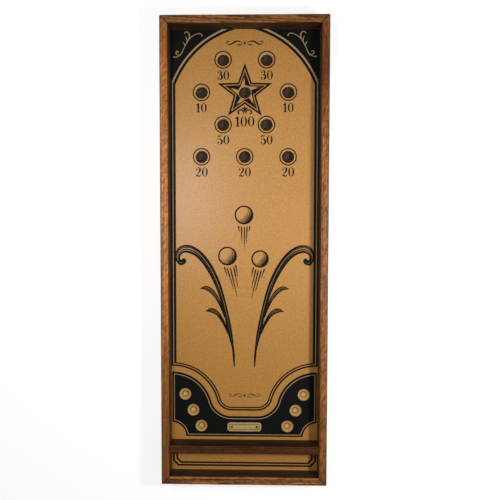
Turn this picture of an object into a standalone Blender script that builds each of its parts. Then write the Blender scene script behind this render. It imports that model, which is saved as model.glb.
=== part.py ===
"""Tabletop billiards board: a shallow stained frame round a drilled and dished field board.

Metres, +Z up. The board lies flat on its four pads with its middle over the origin. The far end,
with the pockets, points along +Y, and the player's end, with the ball bay, along -Y.
"""

import math

import bmesh
import bpy
from mathutils import Matrix

# Frame
BOARD_WIDTH = 0.400
BOARD_LENGTH = 1.120
RAIL_WIDTH = 0.019
RAIL_ABOVE_FIELD = 0.039
RAIL_EDGE_RADIUS = 0.0035
RAIL_FOOT_RADIUS = 0.0015
KEY_WIDTH = 0.014
KEY_THICKNESS = 0.004
KEY_HEIGHT = 0.036

# Field board and what it lies on
FIELD_THICKNESS = 0.010
LEDGER_HEIGHT = 0.010
LEDGER_WIDTH = 0.014
BATTEN_WIDTH = 0.022
BATTEN_COUNT = 2
BACKING_THICKNESS = 0.004
FELT_THICKNESS = 0.002
FELT_MARGIN = 0.012
PAD_DIAMETER = 0.022
PAD_HEIGHT = 0.003
PAD_CHAMFER = 0.0008
PAD_INSET = 0.014

# Pockets: rows counted from the far rail, with each pocket's place across in column steps
POCKET_DIAMETER = 0.0292
POCKET_CHAMFER = 0.0008
POCKET_COLUMN_STEP = 0.0526
POCKET_ROW_STEP = 0.0775
POCKETS_FROM_FAR_RAIL = 0.0728
POCKET_ROWS = ((-1, 1), (-2, 0, 2), (-1, 1), (-2, 0, 2))

# Ball rests: two slanting rows of shallow dishes, counted from the player's end
REST_DIAMETER = 0.0286
REST_FLOOR_DIAMETER = 0.0104
REST_DEPTH = 0.005
REST_RIM = 0.0004
REST_COUNT = 3
REST_STEP_ACROSS = 0.020
REST_STEP_ALONG = 0.0398
RESTS_FROM_MIDDLE = 0.1068
RESTS_FROM_NEAR_RAIL = 0.1116

# Divider bar in front of the ball bay
BAR_WIDTH = 0.0185
BAR_HEIGHT = 0.0405
BAR_EDGE_RADIUS = 0.002
BAY_LENGTH = 0.0588
BAR_SCREW_SPACING = 0.120
BAR_SCREW_COUNT = 3
BAR_SCREW_LENGTH = 0.030

# Blank plate and its two pins
PLATE_LENGTH = 0.084
PLATE_WIDTH = 0.022
PLATE_THICKNESS = 0.0012
PLATE_CORNER_RADIUS = 0.007
PLATE_FROM_NEAR_RAIL = 0.1095
PIN_SPACING = 0.062
PIN_HEAD_DIAMETER = 0.0046
PIN_HEAD_HEIGHT = 0.0012
PIN_SHANK_DIAMETER = 0.002
PIN_LENGTH = 0.008

# Countersunk screws that hold the backing panel up to the ledgers
SCREW_HEAD_DIAMETER = 0.007
SCREW_SHANK_DIAMETER = 0.0035
SCREW_TIP_LENGTH = 0.002
SCREW_HEAD_SUNK = 0.0002
BACKING_SCREW_LENGTH = 0.012
BACKING_SCREWS_PER_SIDE = 5
BACKING_SCREW_END_INSET = 0.045

# Clearances and roundness
FIT_GAP = 0.0003
OVERCUT = 0.002
CORNER_STEPS = 4
POCKET_SEGMENTS = 32
REST_SEGMENTS = 28
REST_WALL_STEPS = 3
REST_WALL_POWER = 1.5
SCREW_SEGMENTS = 16
PAD_SEGMENTS = 28
DOME_STEPS = 3
SMOOTH_ANGLE = math.radians(35)

# Heights, from the surface that the pads stand on
RAIL_BOTTOM = PAD_HEIGHT + FIT_GAP
BACKING_TOP = RAIL_BOTTOM + BACKING_THICKNESS
LEDGER_BOTTOM = BACKING_TOP + FIT_GAP
LEDGER_TOP = LEDGER_BOTTOM + LEDGER_HEIGHT
FIELD_BOTTOM = LEDGER_TOP + FIT_GAP
FIELD_TOP = FIELD_BOTTOM + FIELD_THICKNESS
RAIL_HEIGHT = FIELD_TOP + RAIL_ABOVE_FIELD - RAIL_BOTTOM

# Places on the plan
INNER_X = BOARD_WIDTH / 2 - RAIL_WIDTH
INNER_Y = BOARD_LENGTH / 2 - RAIL_WIDTH
LEDGER_INNER_X = INNER_X - FIT_GAP - LEDGER_WIDTH
LEDGER_INNER_Y = INNER_Y - FIT_GAP - LEDGER_WIDTH
FIRST_POCKET_Y = INNER_Y - POCKETS_FROM_FAR_RAIL
LAST_POCKET_Y = FIRST_POCKET_Y - POCKET_ROW_STEP * (len(POCKET_ROWS) - 1)
POCKET_PLACES = tuple(
    (column * POCKET_COLUMN_STEP, FIRST_POCKET_Y - row * POCKET_ROW_STEP)
    for row, columns in enumerate(POCKET_ROWS)
    for column in columns
)
FIRST_REST_Y = RESTS_FROM_NEAR_RAIL - INNER_Y
LAST_REST_Y = FIRST_REST_Y + REST_STEP_ALONG * (REST_COUNT - 1)
REST_PLACES = tuple(
    (side * (RESTS_FROM_MIDDLE + step * REST_STEP_ACROSS), FIRST_REST_Y + step * REST_STEP_ALONG)
    for side in (-1, 1)
    for step in range(REST_COUNT)
)
BAR_Y = BAY_LENGTH + BAR_WIDTH / 2 - INNER_Y
PLATE_Y = PLATE_FROM_NEAR_RAIL - INNER_Y
PLATE_BOTTOM = FIELD_TOP + FIT_GAP
CORNERS = {
    "far_left": (-1, 1),
    "far_right": (1, 1),
    "near_left": (-1, -1),
    "near_right": (1, -1),
}


def clear_scene():
    """Removes whatever the file opened with, and adds the empty that carries the board."""
    for obj in list(bpy.data.objects):
        bpy.data.objects.remove(obj, do_unlink=True)
    base = bpy.data.objects.new("board_base", None)
    bpy.context.scene.collection.objects.link(base)
    return base


def finish(name, colour, roughness, metallic=0.0):
    """A plain Principled material for one piece."""
    material = bpy.data.materials.new(name)
    material.use_nodes = True
    shader = material.node_tree.nodes["Principled BSDF"]
    shader.inputs["Base Color"].default_value = (*colour, 1.0)
    shader.inputs["Roughness"].default_value = roughness
    shader.inputs["Metallic"].default_value = metallic
    return material


def stained_wood(name):
    return finish(name, (0.165, 0.072, 0.026), 0.42)


def fibreboard(name):
    return finish(name, (0.42, 0.25, 0.105), 0.62)


def plain_wood(name):
    return finish(name, (0.50, 0.35, 0.19), 0.65)


def dark_felt(name):
    return finish(name, (0.035, 0.026, 0.020), 0.95)


def brass(name):
    return finish(name, (0.60, 0.45, 0.20), 0.35, 1.0)


def steel(name):
    return finish(name, (0.55, 0.54, 0.52), 0.38, 1.0)


def rubber(name):
    return finish(name, (0.03, 0.03, 0.03), 0.85)


def add_object(name, shape, look, location=(0, 0, 0), turn=0.0, smooth=False):
    """Turns a bmesh into a named object of the board, with its own material."""
    bmesh.ops.recalc_face_normals(shape, faces=shape.faces)
    mesh = bpy.data.meshes.new(name)
    shape.to_mesh(mesh)
    shape.free()
    if smooth:
        mesh.shade_smooth()
        mesh.set_sharp_from_angle(angle=SMOOTH_ANGLE)
    mesh.materials.append(look(name))
    obj = bpy.data.objects.new(name, mesh)
    obj.location = location
    obj.rotation_euler[2] = turn
    obj.parent = BASE
    bpy.context.scene.collection.objects.link(obj)
    return obj


def add_cutter(name, shape, location=(0, 0, 0), turn=0.0):
    """A helper that only takes material away, and is no piece of the board."""
    cutter = add_object(name, shape, plain_wood, location, turn)
    cutter.hide_render = True
    cutter.display_type = "WIRE"
    return cutter


def cut(obj, cutter):
    """Takes the cutter's shape out of a piece."""
    modifier = obj.modifiers.new(cutter.name, "BOOLEAN")
    modifier.operation = "DIFFERENCE"
    modifier.solver = "EXACT"
    modifier.object = cutter


def block(size, centre=(0, 0, 0)):
    """A square-edged block of a given size."""
    shape = bmesh.new()
    place = Matrix.Translation(centre) @ Matrix.Diagonal((*size, 1.0))
    bmesh.ops.create_cube(shape, size=1.0, matrix=place)
    return shape


def rounded_rectangle(width, height, low_radius, high_radius):
    """Outline of a rectangle from (0, 0) to (width, height), anticlockwise, with round corners."""
    corners = (
        (low_radius, low_radius, low_radius, 180),
        (width - low_radius, low_radius, low_radius, 270),
        (width - high_radius, height - high_radius, high_radius, 0),
        (high_radius, height - high_radius, high_radius, 90),
    )
    outline = []
    for x, y, radius, start in corners:
        for step in range(CORNER_STEPS + 1):
            angle = math.radians(start + 90 * step / CORNER_STEPS)
            outline.append((x + radius * math.cos(angle), y + radius * math.sin(angle)))
    return outline


def lofted(first_loop, second_loop):
    """A closed body between two loops with as many points each."""
    shape = bmesh.new()
    loops = [[shape.verts.new(point) for point in loop] for loop in (first_loop, second_loop)]
    count = len(first_loop)
    for index in range(count):
        after = (index + 1) % count
        shape.faces.new((loops[0][index], loops[0][after], loops[1][after], loops[1][index]))
    for loop in loops:
        shape.faces.new(loop)
    return shape


def turn_profile(shape, profile, centre, segments):
    """Adds a turned body: the profile runs from the axis at the bottom to the axis at the top."""
    bottom = shape.verts.new((centre[0], centre[1], centre[2] + profile[0][1]))
    top = shape.verts.new((centre[0], centre[1], centre[2] + profile[-1][1]))
    rings = []
    for radius, height in profile[1:-1]:
        ring = []
        for step in range(segments):
            angle = 2 * math.pi * step / segments
            x = centre[0] + radius * math.cos(angle)
            y = centre[1] + radius * math.sin(angle)
            ring.append(shape.verts.new((x, y, centre[2] + height)))
        rings.append(ring)
    for step in range(segments):
        after = (step + 1) % segments
        shape.faces.new((bottom, rings[0][after], rings[0][step]))
        for low, high in zip(rings, rings[1:]):
            shape.faces.new((low[step], low[after], high[after], high[step]))
        shape.faces.new((top, rings[-1][step], rings[-1][after]))


def turned(profile, segments):
    """A single turned body about the Z axis."""
    shape = bmesh.new()
    turn_profile(shape, profile, (0, 0, 0), segments)
    return shape


def turned_group(profile, places, height, segments):
    """The same turned body at several places, for one cutter."""
    shape = bmesh.new()
    for x, y in places:
        turn_profile(shape, profile, (x, y, height), segments)
    return shape


def spread(count, reach):
    """Evenly spaced places from -reach to +reach, or the middle alone."""
    if count == 1:
        return [0.0]
    return [reach * (2 * step / (count - 1) - 1) for step in range(count)]


def make_rail(name, outer_length, location, turn):
    """One rail, mitred at both ends. Its own X runs along it, and its own Y inwards."""
    end_gap = FIT_GAP / math.sqrt(2)
    outline = rounded_rectangle(RAIL_WIDTH, RAIL_HEIGHT, RAIL_FOOT_RADIUS, RAIL_EDGE_RADIUS)
    ends = []
    for side in (-1, 1):
        half = outer_length / 2 - end_gap
        ends.append([(side * (half - inward), inward, height) for inward, height in outline])
    return add_object(name, lofted(*ends), stained_wood, location, turn, smooth=True)


def make_frame():
    """Four mitred rails, with a hidden key across each mitre."""
    half_width = BOARD_WIDTH / 2
    half_length = BOARD_LENGTH / 2
    rails = {
        "near": make_rail("rail_near", BOARD_WIDTH, (0, -half_length, RAIL_BOTTOM), 0.0),
        "right": make_rail("rail_right", BOARD_LENGTH, (half_width, 0, RAIL_BOTTOM), math.pi / 2),
        "far": make_rail("rail_far", BOARD_WIDTH, (0, half_length, RAIL_BOTTOM), math.pi),
        "left": make_rail("rail_left", BOARD_LENGTH, (-half_width, 0, RAIL_BOTTOM), -math.pi / 2),
    }
    slot_size = (KEY_WIDTH + 2 * FIT_GAP, KEY_THICKNESS + 2 * FIT_GAP, KEY_HEIGHT + 2 * FIT_GAP)
    for corner, (across, along) in CORNERS.items():
        place = (
            across * (half_width - RAIL_WIDTH / 2),
            along * (half_length - RAIL_WIDTH / 2),
            RAIL_BOTTOM + RAIL_HEIGHT / 2,
        )
        turn = -across * along * math.pi / 4
        key_size = (KEY_WIDTH, KEY_THICKNESS, KEY_HEIGHT)
        add_object(f"corner_key_{corner}", block(key_size), plain_wood, place, turn)
        slot = add_cutter(f"key_slot_{corner}", block(slot_size), place, turn)
        for side in corner.split("_"):
            cut(rails[side], slot)


def screw_profile(length, grow, lead):
    """A countersunk screw pointing up. grow widens it all round for its hole, and lead opens the mouth."""
    head = SCREW_HEAD_DIAMETER / 2 + grow
    shank = SCREW_SHANK_DIAMETER / 2 + grow
    return [
        (0, -lead),
        (head, -lead),
        (head, SCREW_HEAD_SUNK),
        (shank, SCREW_HEAD_SUNK + head - shank),
        (shank, length - SCREW_TIP_LENGTH),
        (0, length + grow),
    ]


def make_screws(name, places, height, length):
    """Countersunk screws driven upwards, and the cutter for their holes."""
    for number, (x, y) in enumerate(places, start=1):
        screw = turned(screw_profile(length, 0.0, 0.0), SCREW_SEGMENTS)
        location = (x, y, height + SCREW_HEAD_SUNK)
        add_object(f"{name}_{number}", screw, steel, location, smooth=True)
    hole = screw_profile(length, FIT_GAP, OVERCUT)
    holes = turned_group(hole, places, height + SCREW_HEAD_SUNK, SCREW_SEGMENTS)
    return add_cutter(f"{name}_holes", holes)


def make_ledgers():
    """Strips along the rails that carry the field board."""
    height = LEDGER_BOTTOM + LEDGER_HEIGHT / 2
    side_x = LEDGER_INNER_X + LEDGER_WIDTH / 2
    end_y = LEDGER_INNER_Y + LEDGER_WIDTH / 2
    side_size = (LEDGER_WIDTH, 2 * (INNER_Y - FIT_GAP), LEDGER_HEIGHT)
    end_size = (2 * (LEDGER_INNER_X - FIT_GAP), LEDGER_WIDTH, LEDGER_HEIGHT)
    return [
        add_object("ledger_left", block(side_size), plain_wood, (-side_x, 0, height)),
        add_object("ledger_right", block(side_size), plain_wood, (side_x, 0, height)),
        add_object("ledger_far", block(end_size), plain_wood, (0, end_y, height)),
        add_object("ledger_near", block(end_size), plain_wood, (0, -end_y, height)),
    ]


def make_battens():
    """Cross strips that keep the field board flat between the pockets and the ball rests."""
    size = (2 * (LEDGER_INNER_X - FIT_GAP), BATTEN_WIDTH, LEDGER_HEIGHT)
    stretch = LAST_POCKET_Y - LAST_REST_Y
    for number in range(1, BATTEN_COUNT + 1):
        y = LAST_POCKET_Y - stretch * number / (BATTEN_COUNT + 1)
        place = (0, y, LEDGER_BOTTOM + LEDGER_HEIGHT / 2)
        add_object(f"cross_batten_{number}", block(size), plain_wood, place)


def make_backing(ledgers):
    """The panel that closes the underside, screwed up into the ledgers."""
    size = (2 * (INNER_X - FIT_GAP), 2 * (INNER_Y - FIT_GAP), BACKING_THICKNESS)
    panel = add_object(
        "backing_panel", block(size), fibreboard, (0, 0, RAIL_BOTTOM + BACKING_THICKNESS / 2)
    )
    side_x = LEDGER_INNER_X + LEDGER_WIDTH / 2
    end_y = LEDGER_INNER_Y + LEDGER_WIDTH / 2
    rows = spread(BACKING_SCREWS_PER_SIDE, INNER_Y - BACKING_SCREW_END_INSET)
    places = [(side * side_x, y) for side in (-1, 1) for y in rows]
    places += [(0, -end_y), (0, end_y)]
    holes = make_screws("backing_screw", places, RAIL_BOTTOM, BACKING_SCREW_LENGTH)
    for piece in (panel, *ledgers):
        cut(piece, holes)


def make_felt():
    """The felt that lines the bottoms of the pockets."""
    widest = max(abs(x) for x, _ in POCKET_PLACES)
    width = 2 * (widest + POCKET_DIAMETER / 2 + FELT_MARGIN)
    length = FIRST_POCKET_Y - LAST_POCKET_Y + POCKET_DIAMETER + 2 * FELT_MARGIN
    place = (
        0,
        (FIRST_POCKET_Y + LAST_POCKET_Y) / 2,
        BACKING_TOP + FIT_GAP + FELT_THICKNESS / 2,
    )
    add_object("pocket_felt", block((width, length, FELT_THICKNESS)), dark_felt, place)


def pocket_profile():
    """A hole right through the field board, with a broken edge at the top."""
    radius = POCKET_DIAMETER / 2
    return [
        (0, -FIELD_THICKNESS - OVERCUT),
        (radius, -FIELD_THICKNESS - OVERCUT),
        (radius, -POCKET_CHAMFER),
        (radius + POCKET_CHAMFER + OVERCUT, OVERCUT),
        (0, OVERCUT),
    ]


def rest_profile():
    """A shallow dish: a flat floor, and a wall that hollows up to a short upright rim."""
    floor = REST_FLOOR_DIAMETER / 2
    reach = REST_DIAMETER / 2 - floor
    rise = REST_DEPTH - REST_RIM
    profile = [(0, -REST_DEPTH)]
    for step in range(REST_WALL_STEPS + 1):
        share = step / REST_WALL_STEPS
        profile.append((floor + reach * share, rise * share**REST_WALL_POWER - REST_DEPTH))
    profile += [(REST_DIAMETER / 2, OVERCUT), (0, OVERCUT)]
    return profile


def make_field():
    """The field board with its pockets, ball rests and pin holes."""
    size = (2 * (INNER_X - FIT_GAP), 2 * (INNER_Y - FIT_GAP), FIELD_THICKNESS)
    middle = FIELD_BOTTOM + FIELD_THICKNESS / 2
    field = add_object("field_board", block(size), fibreboard, (0, 0, middle))
    pockets = turned_group(pocket_profile(), POCKET_PLACES, FIELD_TOP, POCKET_SEGMENTS)
    cut(field, add_cutter("pockets", pockets))
    rests = turned_group(rest_profile(), REST_PLACES, FIELD_TOP, REST_SEGMENTS)
    cut(field, add_cutter("ball_rests", rests))
    return field


def make_divider(field):
    """The bar across the board in front of the ball bay, screwed from under the field board."""
    length = 2 * (INNER_X - FIT_GAP)
    outline = rounded_rectangle(BAR_WIDTH, BAR_HEIGHT - FIT_GAP, FIT_GAP, BAR_EDGE_RADIUS)
    ends = []
    for side in (-1, 1):
        ends.append([(side * length / 2, across - BAR_WIDTH / 2, up) for across, up in outline])
    place = (0, BAR_Y, FIELD_TOP + FIT_GAP)
    bar = add_object("divider_bar", lofted(*ends), stained_wood, place, smooth=True)
    reach = BAR_SCREW_SPACING * (BAR_SCREW_COUNT - 1) / 2
    places = [(x, BAR_Y) for x in spread(BAR_SCREW_COUNT, reach)]
    holes = make_screws("bar_screw", places, FIELD_BOTTOM, BAR_SCREW_LENGTH)
    cut(field, holes)
    cut(bar, holes)


def pin_profile(grow):
    """A round-headed pin pointing down, its head's underside at height 0."""
    head = PIN_HEAD_DIAMETER / 2
    shank = PIN_SHANK_DIAMETER / 2 + grow
    profile = [(0, -PIN_LENGTH - grow), (shank, -PIN_LENGTH - grow), (shank, 0)]
    for step in range(DOME_STEPS):
        angle = math.pi / 2 * step / DOME_STEPS
        profile.append((head * math.cos(angle), PIN_HEAD_HEIGHT * math.sin(angle)))
    profile.append((0, PIN_HEAD_HEIGHT))
    return profile


def make_plate(field):
    """A blank plate on the near panel, held by two pins."""
    outline = rounded_rectangle(PLATE_LENGTH, PLATE_WIDTH, PLATE_CORNER_RADIUS, PLATE_CORNER_RADIUS)
    loops = []
    for height in (0.0, PLATE_THICKNESS):
        loops.append([(x - PLATE_LENGTH / 2, y - PLATE_WIDTH / 2, height) for x, y in outline])
    plate = add_object("brass_plate", lofted(*loops), brass, (0, PLATE_Y, PLATE_BOTTOM))
    head_seat = PLATE_BOTTOM + PLATE_THICKNESS + FIT_GAP
    sides = {"left": -PIN_SPACING / 2, "right": PIN_SPACING / 2}
    for side, x in sides.items():
        pin = turned(pin_profile(0.0), SCREW_SEGMENTS)
        add_object(f"plate_pin_{side}", pin, brass, (x, PLATE_Y, head_seat), smooth=True)
    places = [(x, PLATE_Y) for x in sides.values()]
    hole_radius = PIN_SHANK_DIAMETER / 2 + FIT_GAP
    hole_bottom = -PIN_LENGTH - FIT_GAP
    hole = [(0, hole_bottom), (hole_radius, hole_bottom), (hole_radius, OVERCUT), (0, OVERCUT)]
    holes = add_cutter("pin_holes", turned_group(hole, places, head_seat, SCREW_SEGMENTS))
    cut(plate, holes)
    cut(field, holes)


def make_pads():
    """Four round pads under the corners, which the board stands on."""
    radius = PAD_DIAMETER / 2
    profile = [
        (0, 0),
        (radius - PAD_CHAMFER, 0),
        (radius, PAD_CHAMFER),
        (radius, PAD_HEIGHT),
        (0, PAD_HEIGHT),
    ]
    for corner, (across, along) in CORNERS.items():
        x = across * (BOARD_WIDTH / 2 - PAD_INSET)
        y = along * (BOARD_LENGTH / 2 - PAD_INSET)
        pad = turned(profile, PAD_SEGMENTS)
        add_object(f"pad_{corner}", pad, rubber, (x, y, 0), smooth=True)


BASE = clear_scene()
make_frame()
make_backing(make_ledgers())
make_battens()
make_felt()
FIELD = make_field()
make_divider(FIELD)
make_plate(FIELD)
make_pads()
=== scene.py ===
"""Dresses a tabletop Japanese billiards board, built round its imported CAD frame.

Lengths are in metres. The print is laid out in millimetres on the field, from the board's middle:
X to the right and Y up the board, away from the player.
"""

import logging
import math
from dataclasses import dataclass
from enum import Enum, IntEnum
from typing import Sequence

import bmesh
import bpy
import numpy as np
from mathutils import Matrix, Vector


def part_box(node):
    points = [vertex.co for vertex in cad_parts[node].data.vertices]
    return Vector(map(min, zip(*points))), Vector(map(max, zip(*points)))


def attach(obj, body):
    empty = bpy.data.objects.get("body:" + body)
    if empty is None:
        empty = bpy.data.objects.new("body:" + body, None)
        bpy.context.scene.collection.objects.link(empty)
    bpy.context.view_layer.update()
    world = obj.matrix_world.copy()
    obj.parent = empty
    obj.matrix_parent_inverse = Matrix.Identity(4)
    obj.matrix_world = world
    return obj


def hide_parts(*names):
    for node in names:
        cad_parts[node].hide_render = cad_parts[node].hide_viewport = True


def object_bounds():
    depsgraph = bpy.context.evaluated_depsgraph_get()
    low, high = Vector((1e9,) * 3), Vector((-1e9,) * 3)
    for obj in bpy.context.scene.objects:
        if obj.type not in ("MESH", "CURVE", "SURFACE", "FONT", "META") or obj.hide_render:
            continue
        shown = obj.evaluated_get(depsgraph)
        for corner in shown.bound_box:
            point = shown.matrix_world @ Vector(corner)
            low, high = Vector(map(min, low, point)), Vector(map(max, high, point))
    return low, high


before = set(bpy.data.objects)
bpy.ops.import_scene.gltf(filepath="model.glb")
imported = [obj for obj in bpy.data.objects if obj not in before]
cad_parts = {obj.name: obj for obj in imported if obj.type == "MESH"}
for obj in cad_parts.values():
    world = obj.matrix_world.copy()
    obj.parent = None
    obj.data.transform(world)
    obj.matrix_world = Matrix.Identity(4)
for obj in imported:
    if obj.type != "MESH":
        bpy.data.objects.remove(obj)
CAD_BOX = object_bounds()

MM = 0.001
BODY = "root"
SHARP_ANGLE = math.radians(32.0)
UNIT_WAVE = math.tau / 20.0
FACE_SHADES = (1.0, 0.8, 0.5)

INK_THICKNESS = 0.00004
INK_LIFT = 0.00001
LAYER_STEP = 0.00001
STROKE_STEP = 0.0000002
THINNEST_STROKE = 0.04
WELD_DISTANCE = 1e-6
RING_SIDES = 96

Colour = tuple[float, float, float]
Triple = tuple[float, float, float]
Point = tuple[float, float]
Inputs = dict[str | int, object]
Corners = list[bmesh.types.BMVert]
Socket = bpy.types.NodeSocket
Material = bpy.types.Material
Mesh = bpy.types.Mesh

log = logging.getLogger("board")


class Nodes:
    """A node tree, with a short way to add and link its nodes."""

    def __init__(self, tree: bpy.types.NodeTree) -> None:
        """Keeps the tree and empties it."""
        self.tree = tree
        tree.nodes.clear()

    def put(self, node: bpy.types.Node, inputs: Inputs) -> None:
        """Links or sets inputs of a node.

        Args:
            node: The node.
            inputs: A socket to link, or a value to set, for each input by name or number.
        """
        for key, value in inputs.items():
            if isinstance(value, Socket):
                self.tree.links.new(value, node.inputs[key])
            else:
                node.inputs[key].default_value = value

    def add(self, kind: str, inputs: Inputs | None = None, **settings: object) -> bpy.types.Node:
        """Adds a node.

        Args:
            kind: The node's type name.
            inputs: What its inputs are linked or set to.
            **settings: Properties of the node itself.

        Returns:
            The new node.
        """
        node = self.tree.nodes.new(kind)
        for key, value in settings.items():
            setattr(node, key, value)
        self.put(node, inputs or {})
        return node

    def out(
        self, kind: str, inputs: Inputs | None = None, key: str | int = 0, **settings: object
    ) -> Socket:
        """Adds a node and gives its first output, or the one of that name or number."""
        return self.add(kind, inputs, **settings).outputs[key]


class Surface:
    """A material in the making: one Principled shader and the patterns that feed it."""

    def __init__(self, name: str) -> None:
        """Starts a material with its shader and output.

        Args:
            name: The material's name.
        """
        self.material = bpy.data.materials.new(name)
        self.material.use_nodes = True
        self.nodes = Nodes(self.material.node_tree)
        self.shader = self.nodes.add("ShaderNodeBsdfPrincipled")
        self.nodes.add("ShaderNodeOutputMaterial", {"Surface": self.shader.outputs[0]})

    def place(
        self, scale: Triple = (1, 1, 1), turn: Triple = (0, 0, 0), shift: Triple = (0, 0, 0)
    ) -> Socket:
        """Gives the piece's own coordinates.

        Args:
            scale: How much each axis is stretched before it is turned.
            turn: The turn about X, Y and Z, in radians.
            shift: What is added last.

        Returns:
            The vector socket.
        """
        own = self.nodes.out("ShaderNodeTexCoord", key="Object")
        inputs = {"Vector": own, "Scale": scale, "Rotation": turn, "Location": shift}
        return self.nodes.out("ShaderNodeMapping", inputs)

    def stretch(self, vector: Socket, scale: Triple) -> Socket:
        """Scales a vector along each axis and returns it."""
        return self.nodes.out("ShaderNodeMapping", {"Vector": vector, "Scale": scale})

    def noise(self, vector: Socket, scale: float, detail: float, roughness: float) -> Socket:
        """Adds a noise pattern, with that many finer octaves, and gives its factor from 0 to 1."""
        inputs = {"Vector": vector, "Scale": scale, "Detail": detail, "Roughness": roughness}
        return self.nodes.out("ShaderNodeTexNoise", inputs, "Fac")

    def ramp(self, factor: Socket, stops: Sequence[tuple[float, Colour]]) -> Socket:
        """Turns a factor into a colour.

        Args:
            factor: The factor, from 0 to 1.
            stops: The colours with their places.

        Returns:
            The colour socket.
        """
        node = self.nodes.add("ShaderNodeValToRGB", {"Fac": factor})
        row = node.color_ramp.elements
        while len(row) < len(stops):
            row.new(1.0)
        for element, (place, colour) in zip(row, stops):
            element.position = place
            element.color = (*colour, 1.0)
        return node.outputs[0]

    def spread(self, factor: Socket, low: float, high: float, start: float, end: float) -> Socket:
        """Maps a value smoothly: to start where it is below low, and to end above high."""
        inputs = {0: factor, 1: low, 2: high, 3: start, 4: end}
        return self.nodes.out("ShaderNodeMapRange", inputs, interpolation_type="SMOOTHSTEP")

    def blend(self, factor: object, base: object, top: object, mode: str = "MIX") -> Socket:
        """Blends two colours.

        Args:
            factor: How much of the top one, as a number or a socket.
            base: The colour below.
            top: The colour above.
            mode: Blender's name for the blend.

        Returns:
            The colour socket.
        """
        below, above = ((*c, 1.0) if isinstance(c, tuple) else c for c in (base, top))
        inputs = {0: factor, 6: below, 7: above}
        return self.nodes.out("ShaderNodeMix", inputs, 2, data_type="RGBA", blend_type=mode)

    def tint(self, colour: object, factor: Socket, stops: Sequence[tuple[float, object]]) -> Socket:
        """Multiplies a colour by a ramp, whose stops are shares or colours with their places."""
        shares = [(at, share if isinstance(share, tuple) else (share,) * 3) for at, share in stops]
        return self.blend(1.0, colour, self.ramp(factor, shares), "MULTIPLY")

    def maths(self, operation: str, one: object, other: object) -> Socket:
        """Joins two numbers by Blender's operation of that name."""
        return self.nodes.out("ShaderNodeMath", {0: one, 1: other}, operation=operation)

    def mean(self, one: Socket, other: Socket, share: float) -> Socket:
        """Gives the mean of two numbers, with that share of the second one."""
        parts = self.maths("MULTIPLY", one, 1.0 - share), self.maths("MULTIPLY", other, share)
        return self.maths("ADD", *parts)

    def distance(self, point: Triple, stretch: Triple = (1, 1, 1)) -> Socket:
        """Gives the distance from a point of the board in metres, each axis counted by its stretch."""
        away = self.place(scale=stretch, shift=tuple(-p * s for p, s in zip(point, stretch)))
        return self.nodes.out("ShaderNodeVectorMath", {0: away}, "Value", operation="LENGTH")

    def along(self, middle: float, near: float, far: float, most: float) -> Socket:
        """Gives a value that is 0 near a place along the board and rises to most far from it."""
        away = self.distance((0.0, middle, 0.0), (0.0, 1.0, 0.0))
        return self.spread(away, near, far, 0.0, most)

    def attribute(self, name: str) -> Socket:
        """Gives the mesh's own attribute of that name, or 0 where it has none."""
        return self.nodes.out("ShaderNodeAttribute", None, "Fac", attribute_name=name)

    def height(self) -> Socket:
        """Gives the height above the floor, in metres."""
        return self.nodes.out("ShaderNodeSeparateXYZ", {0: self.place()}, "Z")

    def relief(self, height: Socket, strength: float, depth: float) -> None:
        """Gives the shader a fine relief, by a pattern from 0 to 1 and its depth in metres."""
        inputs = {"Height": height, "Strength": strength, "Distance": depth}
        self.feed({"Normal": self.nodes.out("ShaderNodeBump", inputs)})

    def feed(self, inputs: Inputs) -> None:
        """Sets or links inputs of the shader by name."""
        self.nodes.put(self.shader, inputs)


def shade(colour: Colour, share: float) -> Colour:
    """Gives a colour with that share of its light."""
    return tuple(share * c for c in colour)


class Grain(Enum):
    """Which way the grain of a piece of wood runs, as the turn that brings it to X."""

    ALONG_X = 0.0
    ALONG_Y = -math.pi / 2


@dataclass(frozen=True)
class Knot:
    """A knotty place in a rail along Y, twice as long as it is wide."""

    middle: Triple
    reach: float = 0.125
    colour: Colour = (0.115, 0.032, 0.0075)
    stretch: Triple = (1.2, 0.6, 0.6)
    bend: float = 14.0
    curl_waves: float = 150.0


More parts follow.
